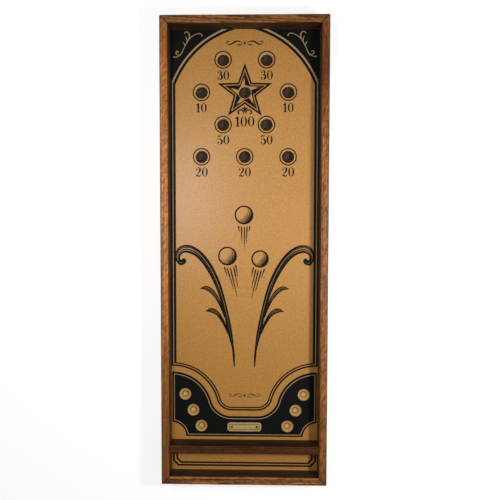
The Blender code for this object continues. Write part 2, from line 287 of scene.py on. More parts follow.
@dataclass(frozen=True)
class Wood:
    """Wood with growth rings, pores and a stain that has pooled along its edges."""

    name: str
    grain: Grain
    pale: Colour
    body: Colour
    dark: Colour
    pith: Point
    tilt: float = 0.02
    ring_spacing: float = 0.0034
    blotch: float = 0.36
    fleck: float = 0.6
    glint: float = 0.6
    slant: float = 0.2
    edge_stain: float = 0.85
    roughness: float = 0.46
    gloss: float = 0.3
    figure: float = 1.0
    # The next two fields paint the fall of the light along the board: painted shade, darker away from its lit
    # middle.
    fade: float = 0.0
    painted_light_middle: float = 0.17
    knot: Knot | None = None
    ring_stretch: Triple = (0.09, 1.0, 1.0)
    figure_waves: Triple = (4.0, 170.0, 170.0)
    figure_share: float = 0.62
    pore_waves: Triple = (85.0, 290.0, 290.0)
    stain_waves: Triple = (13.0, 70.0, 70.0)
    pore_depth: float = 0.0002

    def material(self) -> Material:
        """Makes the wood's material, with the rings' middle at the pith.

        Returns:
            The material.
        """
        s = Surface(self.name)
        turned = s.place(turn=(0.0, self.tilt, self.grain.value + self.tilt), shift=(0.0, *self.pith))
        rings = self.rings(s, s.stretch(turned, self.ring_stretch))
        figure = s.noise(s.stretch(turned, self.figure_waves), 1.0, 5.0, 0.62)
        streak = s.mean(rings, figure, self.figure_share)
        streak = s.spread(streak, 0.0, 1.0, 0.5 - 0.5 * self.figure, 0.5 + 0.5 * self.figure)
        colour = s.ramp(streak, ((0.3, self.pale), (0.5, self.body), (0.76, self.dark)))
        slanted = s.place(turn=(0.0, 0.0, self.grain.value + self.slant))
        pores = s.noise(s.stretch(slanted, self.pore_waves), 1.0, 5.0, 0.7)
        flecks = s.spread(pores, 0.45, 0.62, 0.0, self.fleck)
        glints = s.spread(pores, 0.36, 0.49, self.glint * self.fleck, 0.0)
        colour = s.blend(glints, s.blend(flecks, colour, self.dark), self.pale)
        stain = s.noise(s.stretch(turned, self.stain_waves), 1.0, 4.0, 0.6)
        colour = s.tint(colour, stain, ((0.3, 1.0 - self.blotch), (0.68, 1.0 + 0.5 * self.blotch)))
        # Painted shade: the wood turns towards its dark tone the further it lies along the board from the lit
        # middle.
        if self.fade:
            colour = s.blend(s.along(self.painted_light_middle, 0.05, 0.75, self.fade), colour, self.dark)
        if self.knot:
            colour = self.with_knot(s, colour)
        pooled = s.maths("MULTIPLY", s.attribute("edge"), self.edge_stain)
        colour = s.blend(pooled, colour, shade(self.dark, 0.6))
        s.feed({"Base Color": colour, "Specular IOR Level": self.gloss})
        s.feed({"Roughness": s.spread(figure, 0.2, 0.8, self.roughness + 0.08, self.roughness - 0.06)})
        s.relief(s.maths("SUBTRACT", streak, flecks), 0.35, self.pore_depth)
        return s.material

    def rings(self, s: Surface, along: Socket) -> Socket:
        """Adds the growth rings, which bend round the knot.

        Args:
            s: The surface.
            along: The coordinates, with the grain along X.

        Returns:
            The rings' factor.
        """
        inputs = {
            "Vector": along,
            "Scale": UNIT_WAVE / self.ring_spacing,
            "Distortion": 7.0,
            "Detail": 4.0,
            "Detail Scale": 26.0 * self.ring_spacing,
            "Detail Roughness": 0.62,
        }
        if self.knot:
            bend = s.spread(self.from_knot(s), 0.0, self.knot.reach, self.knot.bend, 0.0)
            inputs["Phase Offset"] = bend
        settings = {"wave_type": "RINGS", "rings_direction": "X", "wave_profile": "SAW"}
        return s.nodes.out("ShaderNodeTexWave", inputs, "Fac", **settings)

    def from_knot(self, s: Surface) -> Socket:
        """Gives the distance from the knot, by its own stretch."""
        return s.distance(self.knot.middle, self.knot.stretch)

    def with_knot(self, s: Surface, colour: Socket) -> Socket:
        """Darkens the wood round the knot.

        Args:
            s: The surface.
            colour: The wood's colour.

        Returns:
            The colour with the knot in it.
        """
        reach = self.knot.reach
        curl = s.noise(s.place(scale=(1.0, 0.7, 1.0)), self.knot.curl_waves, 5.0, 0.65)
        ragged = s.maths("ADD", self.from_knot(s), s.maths("MULTIPLY", curl, 0.5 * reach))
        core = s.spread(ragged, 0.3 * reach, 0.95 * reach, 0.95, 0.0)
        broken = s.maths("MULTIPLY", core, s.spread(curl, 0.4, 0.58, 0.5, 1.0))
        return s.blend(broken, colour, self.knot.colour)


def stained_and_shaded_face(name: str, grain: Grain, colour: Colour, pith: Point) -> Material:
    """Makes the darker wood of an upright inner face from its lightest tone: partly stain, partly painted
    shade.
    """
    tones = [shade(colour, share) for share in FACE_SHADES]
    return Wood(name, grain, *tones, pith, edge_stain=0.3, gloss=0.2).material()


@dataclass(frozen=True)
class Fibreboard:
    """Tan fibreboard with fine fibres and specks under a thin varnish, with painted shade darkening it to its
    ends.
    """

    name: str
    tan: Colour = (0.598, 0.293, 0.08)
    speck: Colour = (0.3, 0.135, 0.036)
    # The next field is painted shade: the board's colour at its ends as a share of each channel, where the
    # light falls off.
    ends: Colour = (0.82, 0.8, 0.67)
    roughness: float = 0.34
    gloss: float = 0.4
    # The lit middle along the board, which the painted shade darkens away from.
    painted_light_middle: float = 0.17
    cloud_waves: float = 210.0
    fibre_waves: float = 620.0
    speck_waves: float = 1500.0
    fibre_depth: float = 0.00006

    def material(self) -> Material:
        """Makes the board's material.

        Returns:
            The material.
        """
        s = Surface(self.name)
        own = s.place()
        cloud = s.noise(own, self.cloud_waves, 5.0, 0.7)
        fibres = s.noise(own, self.fibre_waves, 5.0, 0.72)
        colour = s.tint(self.tan, cloud, ((0.36, (0.88, 0.87, 0.84)), (0.64, (1.12, 1.13, 1.16))))
        colour = s.tint(colour, fibres, ((0.25, (0.87, 0.86, 0.84)), (0.75, 1.1)))
        # Painted shade: darker and less blue towards the ends, away from the board's lit middle.
        colour = s.tint(colour, s.along(self.painted_light_middle, 0.06, 0.52, 1.0), ((0.0, 1.0), (1.0, self.ends)))
        specks = s.spread(s.noise(own, self.speck_waves, 2.0, 0.5), 0.66, 0.74, 0.0, 0.6)
        colour = s.blend(specks, colour, self.speck)
        s.feed({"Base Color": colour, "Specular IOR Level": self.gloss})
        s.feed({"Roughness": s.spread(fibres, 0.2, 0.8, self.roughness + 0.06, self.roughness - 0.06)})
        s.relief(fibres, 0.12, self.fibre_depth)
        return s.material


@dataclass(frozen=True)
class BareDish:
    """The bare fibreboard of a ball rest, coloured by depth: a darker wall for painted shade, a paler floor
    for painted light, and a greyer rim.
    """

    name: str
    rim_height: float
    depth: float
    floor: Colour = (0.73, 0.38, 0.145)
    wall: Colour = (0.36, 0.18, 0.038)
    rim: Colour = (0.49, 0.31, 0.125)
    fibre_waves: float = 700.0
    fibre_depth: float = 0.0001

    def material(self) -> Material:
        """Makes the rests' material.

        Returns:
            The material.
        """
        s = Surface(self.name)
        # Painted light and shade: colours by depth, darkest on the wall and palest on the floor.
        depth = s.spread(s.height(), self.rim_height - self.depth, self.rim_height, 0.0, 1.0)
        tones = ((0.01, self.floor), (0.08, self.wall), (0.5, self.wall), (0.86, self.rim))
        fibres = s.noise(s.place(), self.fibre_waves, 5.0, 0.7)
        colour = s.tint(s.ramp(depth, tones), fibres, ((0.25, 0.84), (0.75, 1.12)))
        s.feed({"Base Color": colour, "Specular IOR Level": 0.12, "Roughness": 0.7})
        s.relief(fibres, 0.2, self.fibre_depth)
        return s.material


@dataclass(frozen=True)
class Mottled:
    """A finish of two tones in a fine, uneven mix: ink, paint, felt, rubber or raw board."""

    name: str
    one: Colour
    other: Colour
    waves: float = 300.0
    roughness: float = 0.6
    gloss: float = 0.1
    sheen: float = 0.0
    relief: float = 0.1
    depth: float = 0.00005
    broad_waves: float = 0.06
    broad_share: float = 0.3

    def material(self) -> Material:
        """Makes the finish's material.

        Returns:
            The material.
        """
        s = Surface(self.name)
        own = s.place()
        fine = s.noise(own, self.waves, 6.0, 0.7)
        broad = s.noise(own, self.waves * self.broad_waves, 3.0, 0.5)
        mix = s.mean(fine, broad, self.broad_share)
        s.feed({"Base Color": s.ramp(mix, ((0.32, self.one), (0.68, self.other)))})
        s.feed({"Specular IOR Level": self.gloss, "Sheen Weight": self.sheen})
        s.feed({"Roughness": s.spread(fine, 0.2, 0.8, self.roughness + 0.06, self.roughness - 0.06)})
        s.relief(fine, self.relief, self.depth)
        return s.material


@dataclass(frozen=True)
class Hardboard:
    """Pressed hardboard with the mesh of the press on its face."""

    name: str
    brown: Colour = (0.2, 0.108, 0.05)
    dark: Colour = (0.115, 0.058, 0.026)
    mesh: float = 0.0016
    mesh_depth: float = 0.0002
    fibre_waves: float = 260.0

    def material(self) -> Material:
        """Makes the panel's material.

        Returns:
            The material.
        """
        s = Surface(self.name)
        own = s.place()
        inputs = {"Vector": own, "Scale": UNIT_WAVE / self.mesh, "Distortion": 0.4, "Detail Scale": 60.0}
        waves = [
            s.nodes.out("ShaderNodeTexWave", inputs, "Fac", wave_type="BANDS", bands_direction=direction)
            for direction in ("X", "Y")
        ]
        press = s.maths("MULTIPLY", *waves)
        colour = s.ramp(s.noise(own, self.fibre_waves, 6.0, 0.72), ((0.28, self.dark), (0.72, self.brown)))
        # Painted shade: the colour darkens in the low grooves of the press mesh.
        colour = s.blend(s.spread(press, 0.0, 0.5, 0.25, 0.0), colour, self.dark)
        s.feed({"Base Color": colour, "Roughness": 0.66, "Specular IOR Level": 0.2})
        s.relief(press, 0.5, self.mesh_depth)
        return s.material


@dataclass(frozen=True)
class Metal:
    """Brushed or plated metal with faint tarnish."""

    name: str
    bright: Colour
    tarnish: Colour
    brush: Triple = (40.0, 2200.0, 2200.0)
    roughness: float = 0.36
    metallic: float = 1.0
    cloud_waves: float = 90.0
    brush_depth: float = 0.00003

    def material(self) -> Material:
        """Makes the metal's material.

        Returns:
            The material.
        """
        s = Surface(self.name)
        lines = s.noise(s.place(scale=self.brush), 1.0, 3.0, 0.6)
        cloud = s.noise(s.place(), self.cloud_waves, 5.0, 0.65)
        colour = s.ramp(cloud, ((0.36, self.bright), (0.78, self.tarnish)))
        colour = s.tint(colour, lines, ((0.3, 0.9), (0.7, 1.06)))
        s.feed({"Base Color": colour, "Metallic": self.metallic})
        s.feed({"Roughness": s.spread(lines, 0.25, 0.75, self.roughness - 0.08, self.roughness + 0.1)})
        s.relief(lines, 0.08, self.brush_depth)
        return s.material


def seen_rays(nodes: Nodes) -> Socket:
    """Gives 1 for rays from the camera, and for those seen in metal or through glass.

    Args:
        nodes: The tree that needs it.

    Returns:
        The factor's socket.
    """
    rays = nodes.add("ShaderNodeLightPath").outputs
    seen = rays["Is Camera Ray"]
    for other in ("Is Glossy Ray", "Is Transmission Ray"):
        seen = nodes.out("ShaderNodeMath", {0: seen, 1: rays[other]}, operation="MAXIMUM")
    return seen


@dataclass(frozen=True)
class StudioWhite:
    """A white floor that the camera sees as white, apart from the shadow on it."""

    name: str
    tone: float = 0.8
    shadow_share: float = 0.45
    own_light: float = 0.74
    far_light: float = 0.95
    far: Point = (0.9, 2.4)

    def material(self) -> Material:
        """Makes the floor's material, with more light of its own where the lamps don't reach.

        Returns:
            The material.
        """
        material = bpy.data.materials.new(self.name)
        material.use_nodes = True
        nodes = Nodes(material.node_tree)
        plain, shaded = (
            nodes.out("ShaderNodeBsdfDiffuse", {"Color": (tone, tone, tone, 1.0)})
            for tone in (self.tone, self.shadow_share)
        )
        own = nodes.out("ShaderNodeTexCoord", key="Object")
        away = nodes.out("ShaderNodeVectorMath", {0: own}, "Value", operation="LENGTH")
        inputs = {0: away, 1: self.far[0], 2: self.far[1], 3: self.own_light, 4: self.far_light}
        light = nodes.out("ShaderNodeMapRange", inputs)
        glow = nodes.out("ShaderNodeEmission", {"Strength": light})
        seen = nodes.out("ShaderNodeAddShader", {0: shaded, 1: glow})
        mix = nodes.out("ShaderNodeMixShader", {0: seen_rays(nodes), 1: plain, 2: seen})
        nodes.add("ShaderNodeOutputMaterial", {"Surface": mix})
        return material


def arc(centre: Point, radius: float, start: float, end: float, steps: int) -> np.ndarray:
    """Draws an arc of straight steps between two angles in degrees, as points, one a row."""
    angles = np.radians(np.linspace(start, end, steps + 1))
    return np.stack((centre[0] + radius * np.cos(angles), centre[1] + radius * np.sin(angles)), 1)


def circle(centre: Point, radius: float, steps: int) -> np.ndarray:
    """Draws a circle of that many points, without the last one twice."""
    return arc(centre, radius, 0.0, 360.0, steps)[:-1]


def eased(radius: float, level: float, ease: float) -> list[Point]:
    """Draws the quarter round from a flat face to a round wall, or into a hole if ease is below zero."""
    angles = np.radians((0.0, 30.0, 60.0, 90.0))
    return [(radius - ease * (1 - math.sin(a)), level + ease * (1 - math.cos(a))) for a in angles]


def smooth(points: np.ndarray, per_span: int = 8, closed: bool = False) -> np.ndarray:
    """Draws a smooth line through points, with any width that they carry.

    Args:
        points: The points, one a row.
        per_span: The steps from each point to the next.
        closed: Whether the line ends where it starts.

    Returns:
        The points of the line.
    """
    if closed:
        padded = np.concatenate((points[-1:], points, points[:2]))
    else:
        padded = np.concatenate((2 * points[:1] - points[1:2], points, 2 * points[-1:] - points[-2:-1]))
    t = np.linspace(0.0, 1.0, per_span, endpoint=False)[:, None]
    spans = []
    for a, b, c, d in zip(padded, padded[1:], padded[2:], padded[3:]):
        bend = (2 * a - 5 * b + 4 * c - d) * t**2 + (3 * b - a - 3 * c + d) * t**3
        spans.append(0.5 * (2 * b + (c - a) * t + bend))
    return np.concatenate(spans if closed else [*spans, points[-1:]])


def offset(path: np.ndarray, distance: float, closed: bool = False) -> np.ndarray:
    """Draws a line beside another, with mitred corners.

    Args:
        path: The line.
        distance: How far to its left the new one lies.
        closed: Whether the line ends where it starts.

    Returns:
        The points of the new line, as many as the old one has.
    """
    steps = np.diff(np.concatenate((path, path[:1])) if closed else path, axis=0)
    across = np.stack((-steps[:, 1], steps[:, 0]), 1) / np.linalg.norm(steps, axis=1)[:, None]
    if closed:
        before, after = np.roll(across, 1, axis=0), across
    else:
        before, after = np.concatenate((across[:1], across)), np.concatenate((across, across[-1:]))
    middle = before + after
    return path + distance * 2.0 * middle / np.sum(middle**2, axis=1)[:, None]


def mirror(path: np.ndarray) -> np.ndarray:
    """Draws a line's reflection in the board's middle line, from its end to its start."""
    return np.asarray(path)[::-1] * np.array((-1.0,) + (1.0,) * (np.shape(path)[1] - 1))


def baked(carrier: bpy.types.Object) -> Mesh:
    """Makes a plain mesh of what an object's modifiers give.

    Args:
        carrier: The object, which is removed.

    Returns:
        The mesh.
    """
    bpy.context.scene.collection.objects.link(carrier)
    graph = bpy.context.evaluated_depsgraph_get()
    mesh = bpy.data.meshes.new_from_object(carrier.evaluated_get(graph))
    bpy.data.objects.remove(carrier)
    return mesh


class GeometryTool:
    """A Geometry Nodes tree with named inputs, and the way to a plain mesh from it."""

    def __init__(self, name: str, inputs: dict[str, str]) -> None:
        """Starts the tree.

        Args:
            name: Its name.
            inputs: The socket type of each named input.
        """
        self.group = bpy.data.node_groups.new(name, "GeometryNodeTree")
        self.nodes = Nodes(self.group)
        sockets = self.group.interface
        sockets.new_socket("Geometry", in_out="INPUT", socket_type="NodeSocketGeometry")
        self.keys = {
            label: sockets.new_socket(label, in_out="INPUT", socket_type=kind).identifier
            for label, kind in (inputs | {"Material": "NodeSocketMaterial"}).items()
        }
        sockets.new_socket("Geometry", in_out="OUTPUT", socket_type="NodeSocketGeometry")
        self.given = self.nodes.add("NodeGroupInput").outputs

    def ribbon(self, curve: Socket, half_width: Socket) -> Socket:
        """Sweeps a level curve into a flat ribbon.

        Args:
            curve: The curve.
            half_width: Half the ribbon's width.

        Returns:
            The ribbon's faces, which point up.
        """
        level = self.nodes.out("GeometryNodeSetCurveNormal", {0: curve}, mode="Z_UP")
        pen = self.nodes.out("GeometryNodeCurvePrimitiveLine", {"Start": (-1, 0, 0), "End": (1, 0, 0)})
        inputs = {"Curve": level, "Profile Curve": pen, "Scale": half_width}
        return self.nodes.out("GeometryNodeCurveToMesh", inputs)

    def thicken(self, flat: Socket) -> Socket:
        """Makes closed solids of flat faces.

        Args:
            flat: The faces, which point up.

        Returns:
            The solids, as thick as the input named Thickness.
        """
        up = {"Offset": (0, 0, 1), "Offset Scale": self.given["Thickness"], "Individual": False}
        raised = self.nodes.out("GeometryNodeExtrudeMesh", {"Mesh": flat} | up)
        under = self.nodes.out("GeometryNodeFlipFaces", {"Mesh": flat})
        both = self.nodes.add("GeometryNodeJoinGeometry", {0: under})
        self.nodes.put(both, {0: raised})
        inputs = {0: both.outputs[0], "Distance": WELD_DISTANCE}
        return self.nodes.out("GeometryNodeMergeByDistance", inputs)

    def close(self, result: Socket) -> None:
        """Ends the tree in real geometry with its material.

        Args:
            result: What the tree has made.
        """
        real = self.nodes.out("GeometryNodeRealizeInstances", {0: result})
        inputs = {0: real, "Material": self.given["Material"]}
        self.nodes.add("NodeGroupOutput", {0: self.nodes.out("GeometryNodeSetMaterial", inputs)})

    def apply(self, data: bpy.types.ID, values: dict[str, object]) -> Mesh:
        """Runs the tree.

        Args:
            data: The mesh or curve that it starts from.
            values: A value for each named input.

        Returns:
            The result as a plain mesh.
        """
        carrier = bpy.data.objects.new(self.group.name, data)
        modifier = carrier.modifiers.new(self.group.name, "NODES")
        modifier.node_group = self.group
        for label, value in values.items():
            modifier[self.keys[label]] = value
        return baked(carrier)


class StrokeTool(GeometryTool):
    """Sweeps drawn strokes, with their own widths, into thin closed ribbons."""

    def __init__(self) -> None:
        """Builds the tree."""
        super().__init__("strokes", {"Thickness": "NodeSocketFloat"})
        half_width = self.nodes.out("GeometryNodeInputRadius")
        self.close(self.thicken(self.ribbon(self.given["Geometry"], half_width)))


class RingTool(GeometryTool):
    """Draws the same printed ring round each of several points."""

    def __init__(self) -> None:
        """Builds the tree."""
        super().__init__("rings", dict.fromkeys(("Thickness", "Radius", "Half line"), "NodeSocketFloat"))
        inputs = {"Resolution": RING_SIDES, "Radius": self.given["Radius"]}
        line = self.nodes.out("GeometryNodeCurvePrimitiveCircle", inputs)
        ring = self.ribbon(line, self.given["Half line"])
        inputs = {"Points": self.given["Geometry"], "Instance": ring}
        rings = self.nodes.out("GeometryNodeInstanceOnPoints", inputs)
        self.close(self.thicken(self.nodes.out("GeometryNodeRealizeInstances", {0: rings})))


class RepeatTool(GeometryTool):
    """Sets one shape, such as a screw, at each of several points."""

    def __init__(self) -> None:
        """Builds the tree."""
        super().__init__("repeats", {"Shape": "NodeSocketObject"})
        inputs = {"Object": self.given["Shape"], "As Instance": True}
        shape = self.nodes.out("GeometryNodeObjectInfo", inputs, "Geometry")
        inputs = {"Points": self.given["Geometry"], "Instance": shape}
        self.close(self.nodes.out("GeometryNodeInstanceOnPoints", inputs))

    def set_out(self, shape: Mesh, places: Sequence[Triple], finish: Material) -> Mesh:
        """Repeats a shape.

        Args:
            shape: The shape, about its own origin.
            places: Where it goes.
            finish: Its material.

        Returns:
            The mesh of them all.
        """
        points = bpy.data.meshes.new("places")
        points.from_pydata(places, [], [])
        model = bpy.data.objects.new("model", shape)
        mesh = self.apply(points, {"Shape": model, "Material": finish})
        bpy.data.objects.remove(model)
        return mesh


def add_piece(
    name: str,
    mesh: Mesh,
    finishes: Sequence[Material] = (),
    replaced: Sequence[str] = (),
) -> bpy.types.Object:
    """Puts a finished mesh on the board.

    Args:
        name: The piece's name.
        mesh: Its mesh, in place.
        finishes: Its materials, in the order of its faces' numbers, unless the mesh has them.
        replaced: The CAD nodes that it stands for.

    Returns:
        The piece.
    """
    piece = bpy.data.objects.new(name, mesh)
    bpy.context.scene.collection.objects.link(piece)
    for finish in finishes:
        mesh.materials.append(finish)
    mesh.shade_smooth()
    mesh.set_sharp_from_angle(angle=SHARP_ANGLE)
    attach(piece, BODY)
    if replaced:
        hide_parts(*replaced)
    log.info("%s: %d faces", name, len(mesh.polygons))
    return piece


def as_mesh(name: str, shape: bmesh.types.BMesh) -> Mesh:
    """Turns a finished shape into a mesh with its faces outwards.

    Args:
        name: The mesh's name.
        shape: The closed shape, which is freed.

    Returns:
        The mesh.
    """
    bmesh.ops.recalc_face_normals(shape, faces=shape.faces)
    mesh = bpy.data.meshes.new(name)
    shape.to_mesh(mesh)
    shape.free()
    return mesh


def nodes_named(stem: str) -> list[str]:
    """Gives the names of the CAD nodes that start with a stem, in order."""
    return sorted(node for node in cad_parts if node.startswith(stem))


def middle_of(node: str) -> Vector:
    """Gives the middle of a CAD node's box."""
    lo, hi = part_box(node)
    return (lo + hi) / 2


def feet_of(nodes: Sequence[str]) -> list[Triple]:
    """Gives the middle of the underside of each CAD node's box."""
    return [(*middle_of(node).xy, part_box(node)[0].z) for node in nodes]


def cut_out(mesh: Mesh, tools: Sequence[Mesh]) -> Mesh:
    """Takes the shapes of tools out of a mesh.

    Args:
        mesh: The closed mesh to cut.
        tools: The closed meshes that are taken out of it.

    Returns:
        The cut mesh.
    """
    body = bpy.data.objects.new(mesh.name, mesh)
    helpers = [bpy.data.objects.new("tool", tool) for tool in tools]
    for helper in helpers:
        bpy.context.scene.collection.objects.link(helper)
        modifier = body.modifiers.new("cut", "BOOLEAN")
        modifier.operation = "DIFFERENCE"
        modifier.solver = "EXACT"
        modifier.object = helper
    result = baked(body)
    for helper in helpers:
        bpy.data.objects.remove(helper)
    return result


class Builder:
    """A shape in the making, from loops of points that are joined and filled."""

    def __init__(self) -> None:
        """Starts an empty shape."""
        self.shape = bmesh.new()

    def loop(self, path: np.ndarray, z: float) -> Corners:
        """Lays a closed line at a height and returns its corners."""
        return [self.shape.verts.new((x, y, z)) for x, y in path]

    def turned(self, centre: Point, profile: Sequence[Point], sides: int) -> list[Corners]:
        """Lays level circles round an upright axis, each by its radius and height."""
        return [self.loop(circle(centre, radius, sides), z) for radius, z in profile]

    def walls(self, loops: Sequence[Corners], number: int = 0) -> None:
        """Joins each closed line to the next by a wall.

        Args:
            loops: The lines' corners, as many in each.
            number: The walls' material.
        """
        for one, other in zip(loops, loops[1:]):
            for corners in zip(one, one[1:] + one[:1], other[1:] + other[:1], other):
                self.shape.faces.new(corners).material_index = number

    def cap(self, loops: Sequence[Corners], number: int = 0) -> None:
        """Fills a flat face, with holes where it has more lines than one.

        Args:
            loops: The outer line's corners, and those of the holes.
            number: The face's material.
        """
        edges = []
        for corners in loops:
            for pair in zip(corners, corners[1:] + corners[:1]):
                edges.append(self.shape.edges.get(pair) or self.shape.edges.new(pair))
        made = bmesh.ops.triangle_fill(self.shape, use_beauty=True, edges=edges, normal=(0, 0, 1))
        for face in made["geom"]:
            if isinstance(face, bmesh.types.BMFace):
                face.material_index = number

    def close(self, loops: Sequence[Corners]) -> None:
        """Makes a closed solid of lines that lie one above the other.

        Args:
            loops: The lines' corners, from one end to the other.
        """
        self.walls(loops)
        self.cap(loops[:1])
        self.cap(loops[-1:])


class EndCut(Enum):
    """How the ends of a moulding are cut."""

    SQUARE = 0.0
    MITRE = 1.0


@dataclass(frozen=True)
class Moulding:
    """A straight stick with softened edges, planed a little unevenly by hand."""

    length: float
    width: float
    low: float
    high: float
    top_radius: float
    foot_radius: float
    cut: EndCut
    arc_steps: int = 8
    station_gap: float = 0.016
    unevenness: float = 0.1
    waves: tuple[Triple, ...] = ((0.6, 19.0, 1.0), (0.4, 47.0, 2.3))
    end_ease: float = 0.0004
    end_gap: float = 0.0002
    pool: float = 0.0024

    def profile(self, ease: float, inset: float) -> np.ndarray:
        """Draws the section, X across from the outer side and Y up.

        Args:
            ease: How much softer the top edges are here, as a share.
            inset: How far the whole outline is drawn in.

        Returns:
            Its points, anticlockwise.
        """
        left, right = inset, self.width - inset
        low, high = self.low + inset, self.high - inset
        top = self.top_radius * (1.0 + ease) - inset
        foot = self.foot_radius - inset
        corners = (
            ((left + foot, low + foot), foot, 180.0),
            ((right - foot, low + foot), foot, 270.0),
            ((right - top, high - top), top, 0.0),
            ((left + top, high - top), top, 90.0),
        )
        rounds = [arc(c, r, start, start + 90.0, self.arc_steps) for c, r, start in corners]
        flat = [(right - top - self.pool, high), (left + top + self.pool, high)]
        return np.concatenate((*rounds[:3], flat, rounds[3], [(left, high - top - self.pool)]))

    def pooled(self) -> np.ndarray:
        """Tells how dark the stain is at each point of the section: most along the outer top edge.

        Returns:
            The stain at the points, from 0 to 1.
        """
        steps = self.arc_steps + 1
        inner, outer = np.linspace(0.3, 0.0, steps), np.linspace(0.1, 0.7, steps)
        return np.concatenate((np.zeros(2 * steps), inner, (0.0, 0.0), outer, (0.2,)))

    def stations(self) -> list[Triple]:
        """Sets out the sections along the stick.

        Returns:
            For each its place, from -1 to 1, how far it is drawn in, and how dark the stain is there.
        """
        count = max(4, round(self.length / self.station_gap))
        near_end = 1.0 - 2.0 * self.end_ease / self.length
        inner_end = near_end - 2.0 * self.pool / self.length
        inner = [(t, 0.0, 0.0) for t in np.linspace(-inner_end, inner_end, count)]
        dark = self.cut.value
        start = [(-1.0, self.end_ease, dark), (-near_end, 0.0, dark)]
        return [*start, *inner, (near_end, 0.0, dark), (1.0, self.end_ease, dark)]

    def mesh(self, name: str, turn: float, outer_middle: Vector, seed: float) -> Mesh:
        """Builds the stick, its inner face as material 1 and the rest as material 0.

        Args:
            name: The mesh's name.
            turn: The turn about Z from a stick along X whose outer side looks along -Y.
            outer_middle: The middle of the outer side's foot line.
            seed: Where its unevenness starts.

        Returns:
            The mesh, in place.
        """
        make = Builder()
        edge = make.shape.verts.layers.float.new("edge")
        rings = []
        for t, inset, dark in self.stations():
            at = t * self.length / 2.0
            swing = sum(share * math.sin(rate * at + part * seed) for share, rate, part in self.waves)
            section = self.profile(self.unevenness * swing, inset)
            reach = self.length / 2.0 - self.end_gap - self.cut.value * section[:, 0]
            ring = [make.shape.verts.new((t * r, v, w)) for r, (v, w) in zip(reach, section)]
            for corner, stain in zip(ring, self.pooled()):
                corner[edge] = max(dark, stain)
            rings.append(ring)
        make.walls(rings)
        straight = 2 * (self.arc_steps + 1) - 1
        for face in list(make.shape.faces)[straight :: len(rings[0])]:
            face.material_index = 1
        for end in (rings[0][::-1], rings[-1]):
            make.shape.faces.new(end)
        mesh = as_mesh(name, make.shape)
        mesh.transform(Matrix.Translation(outer_middle) @ Matrix.Rotation(turn, 4, "Z"))
        return mesh


@dataclass(frozen=True)
class RailPlan:
    """Where one rail goes and how its own stick of wood looks."""

    side: str
    outward: tuple[int, int]
    pith: Point
    tone: float
    seed: float
    fleck: float = 0.75
    slant: float = 0.16
    figure: float = 0.95
    # How much painted shade darkens the rail away from the board's lit middle.
    fade: float = 0.0

    @property
    def grain(self) -> Grain:
        """Gives the way of its grain, which runs along the rail."""
        return Grain.ALONG_Y if self.outward[0] else Grain.ALONG_X


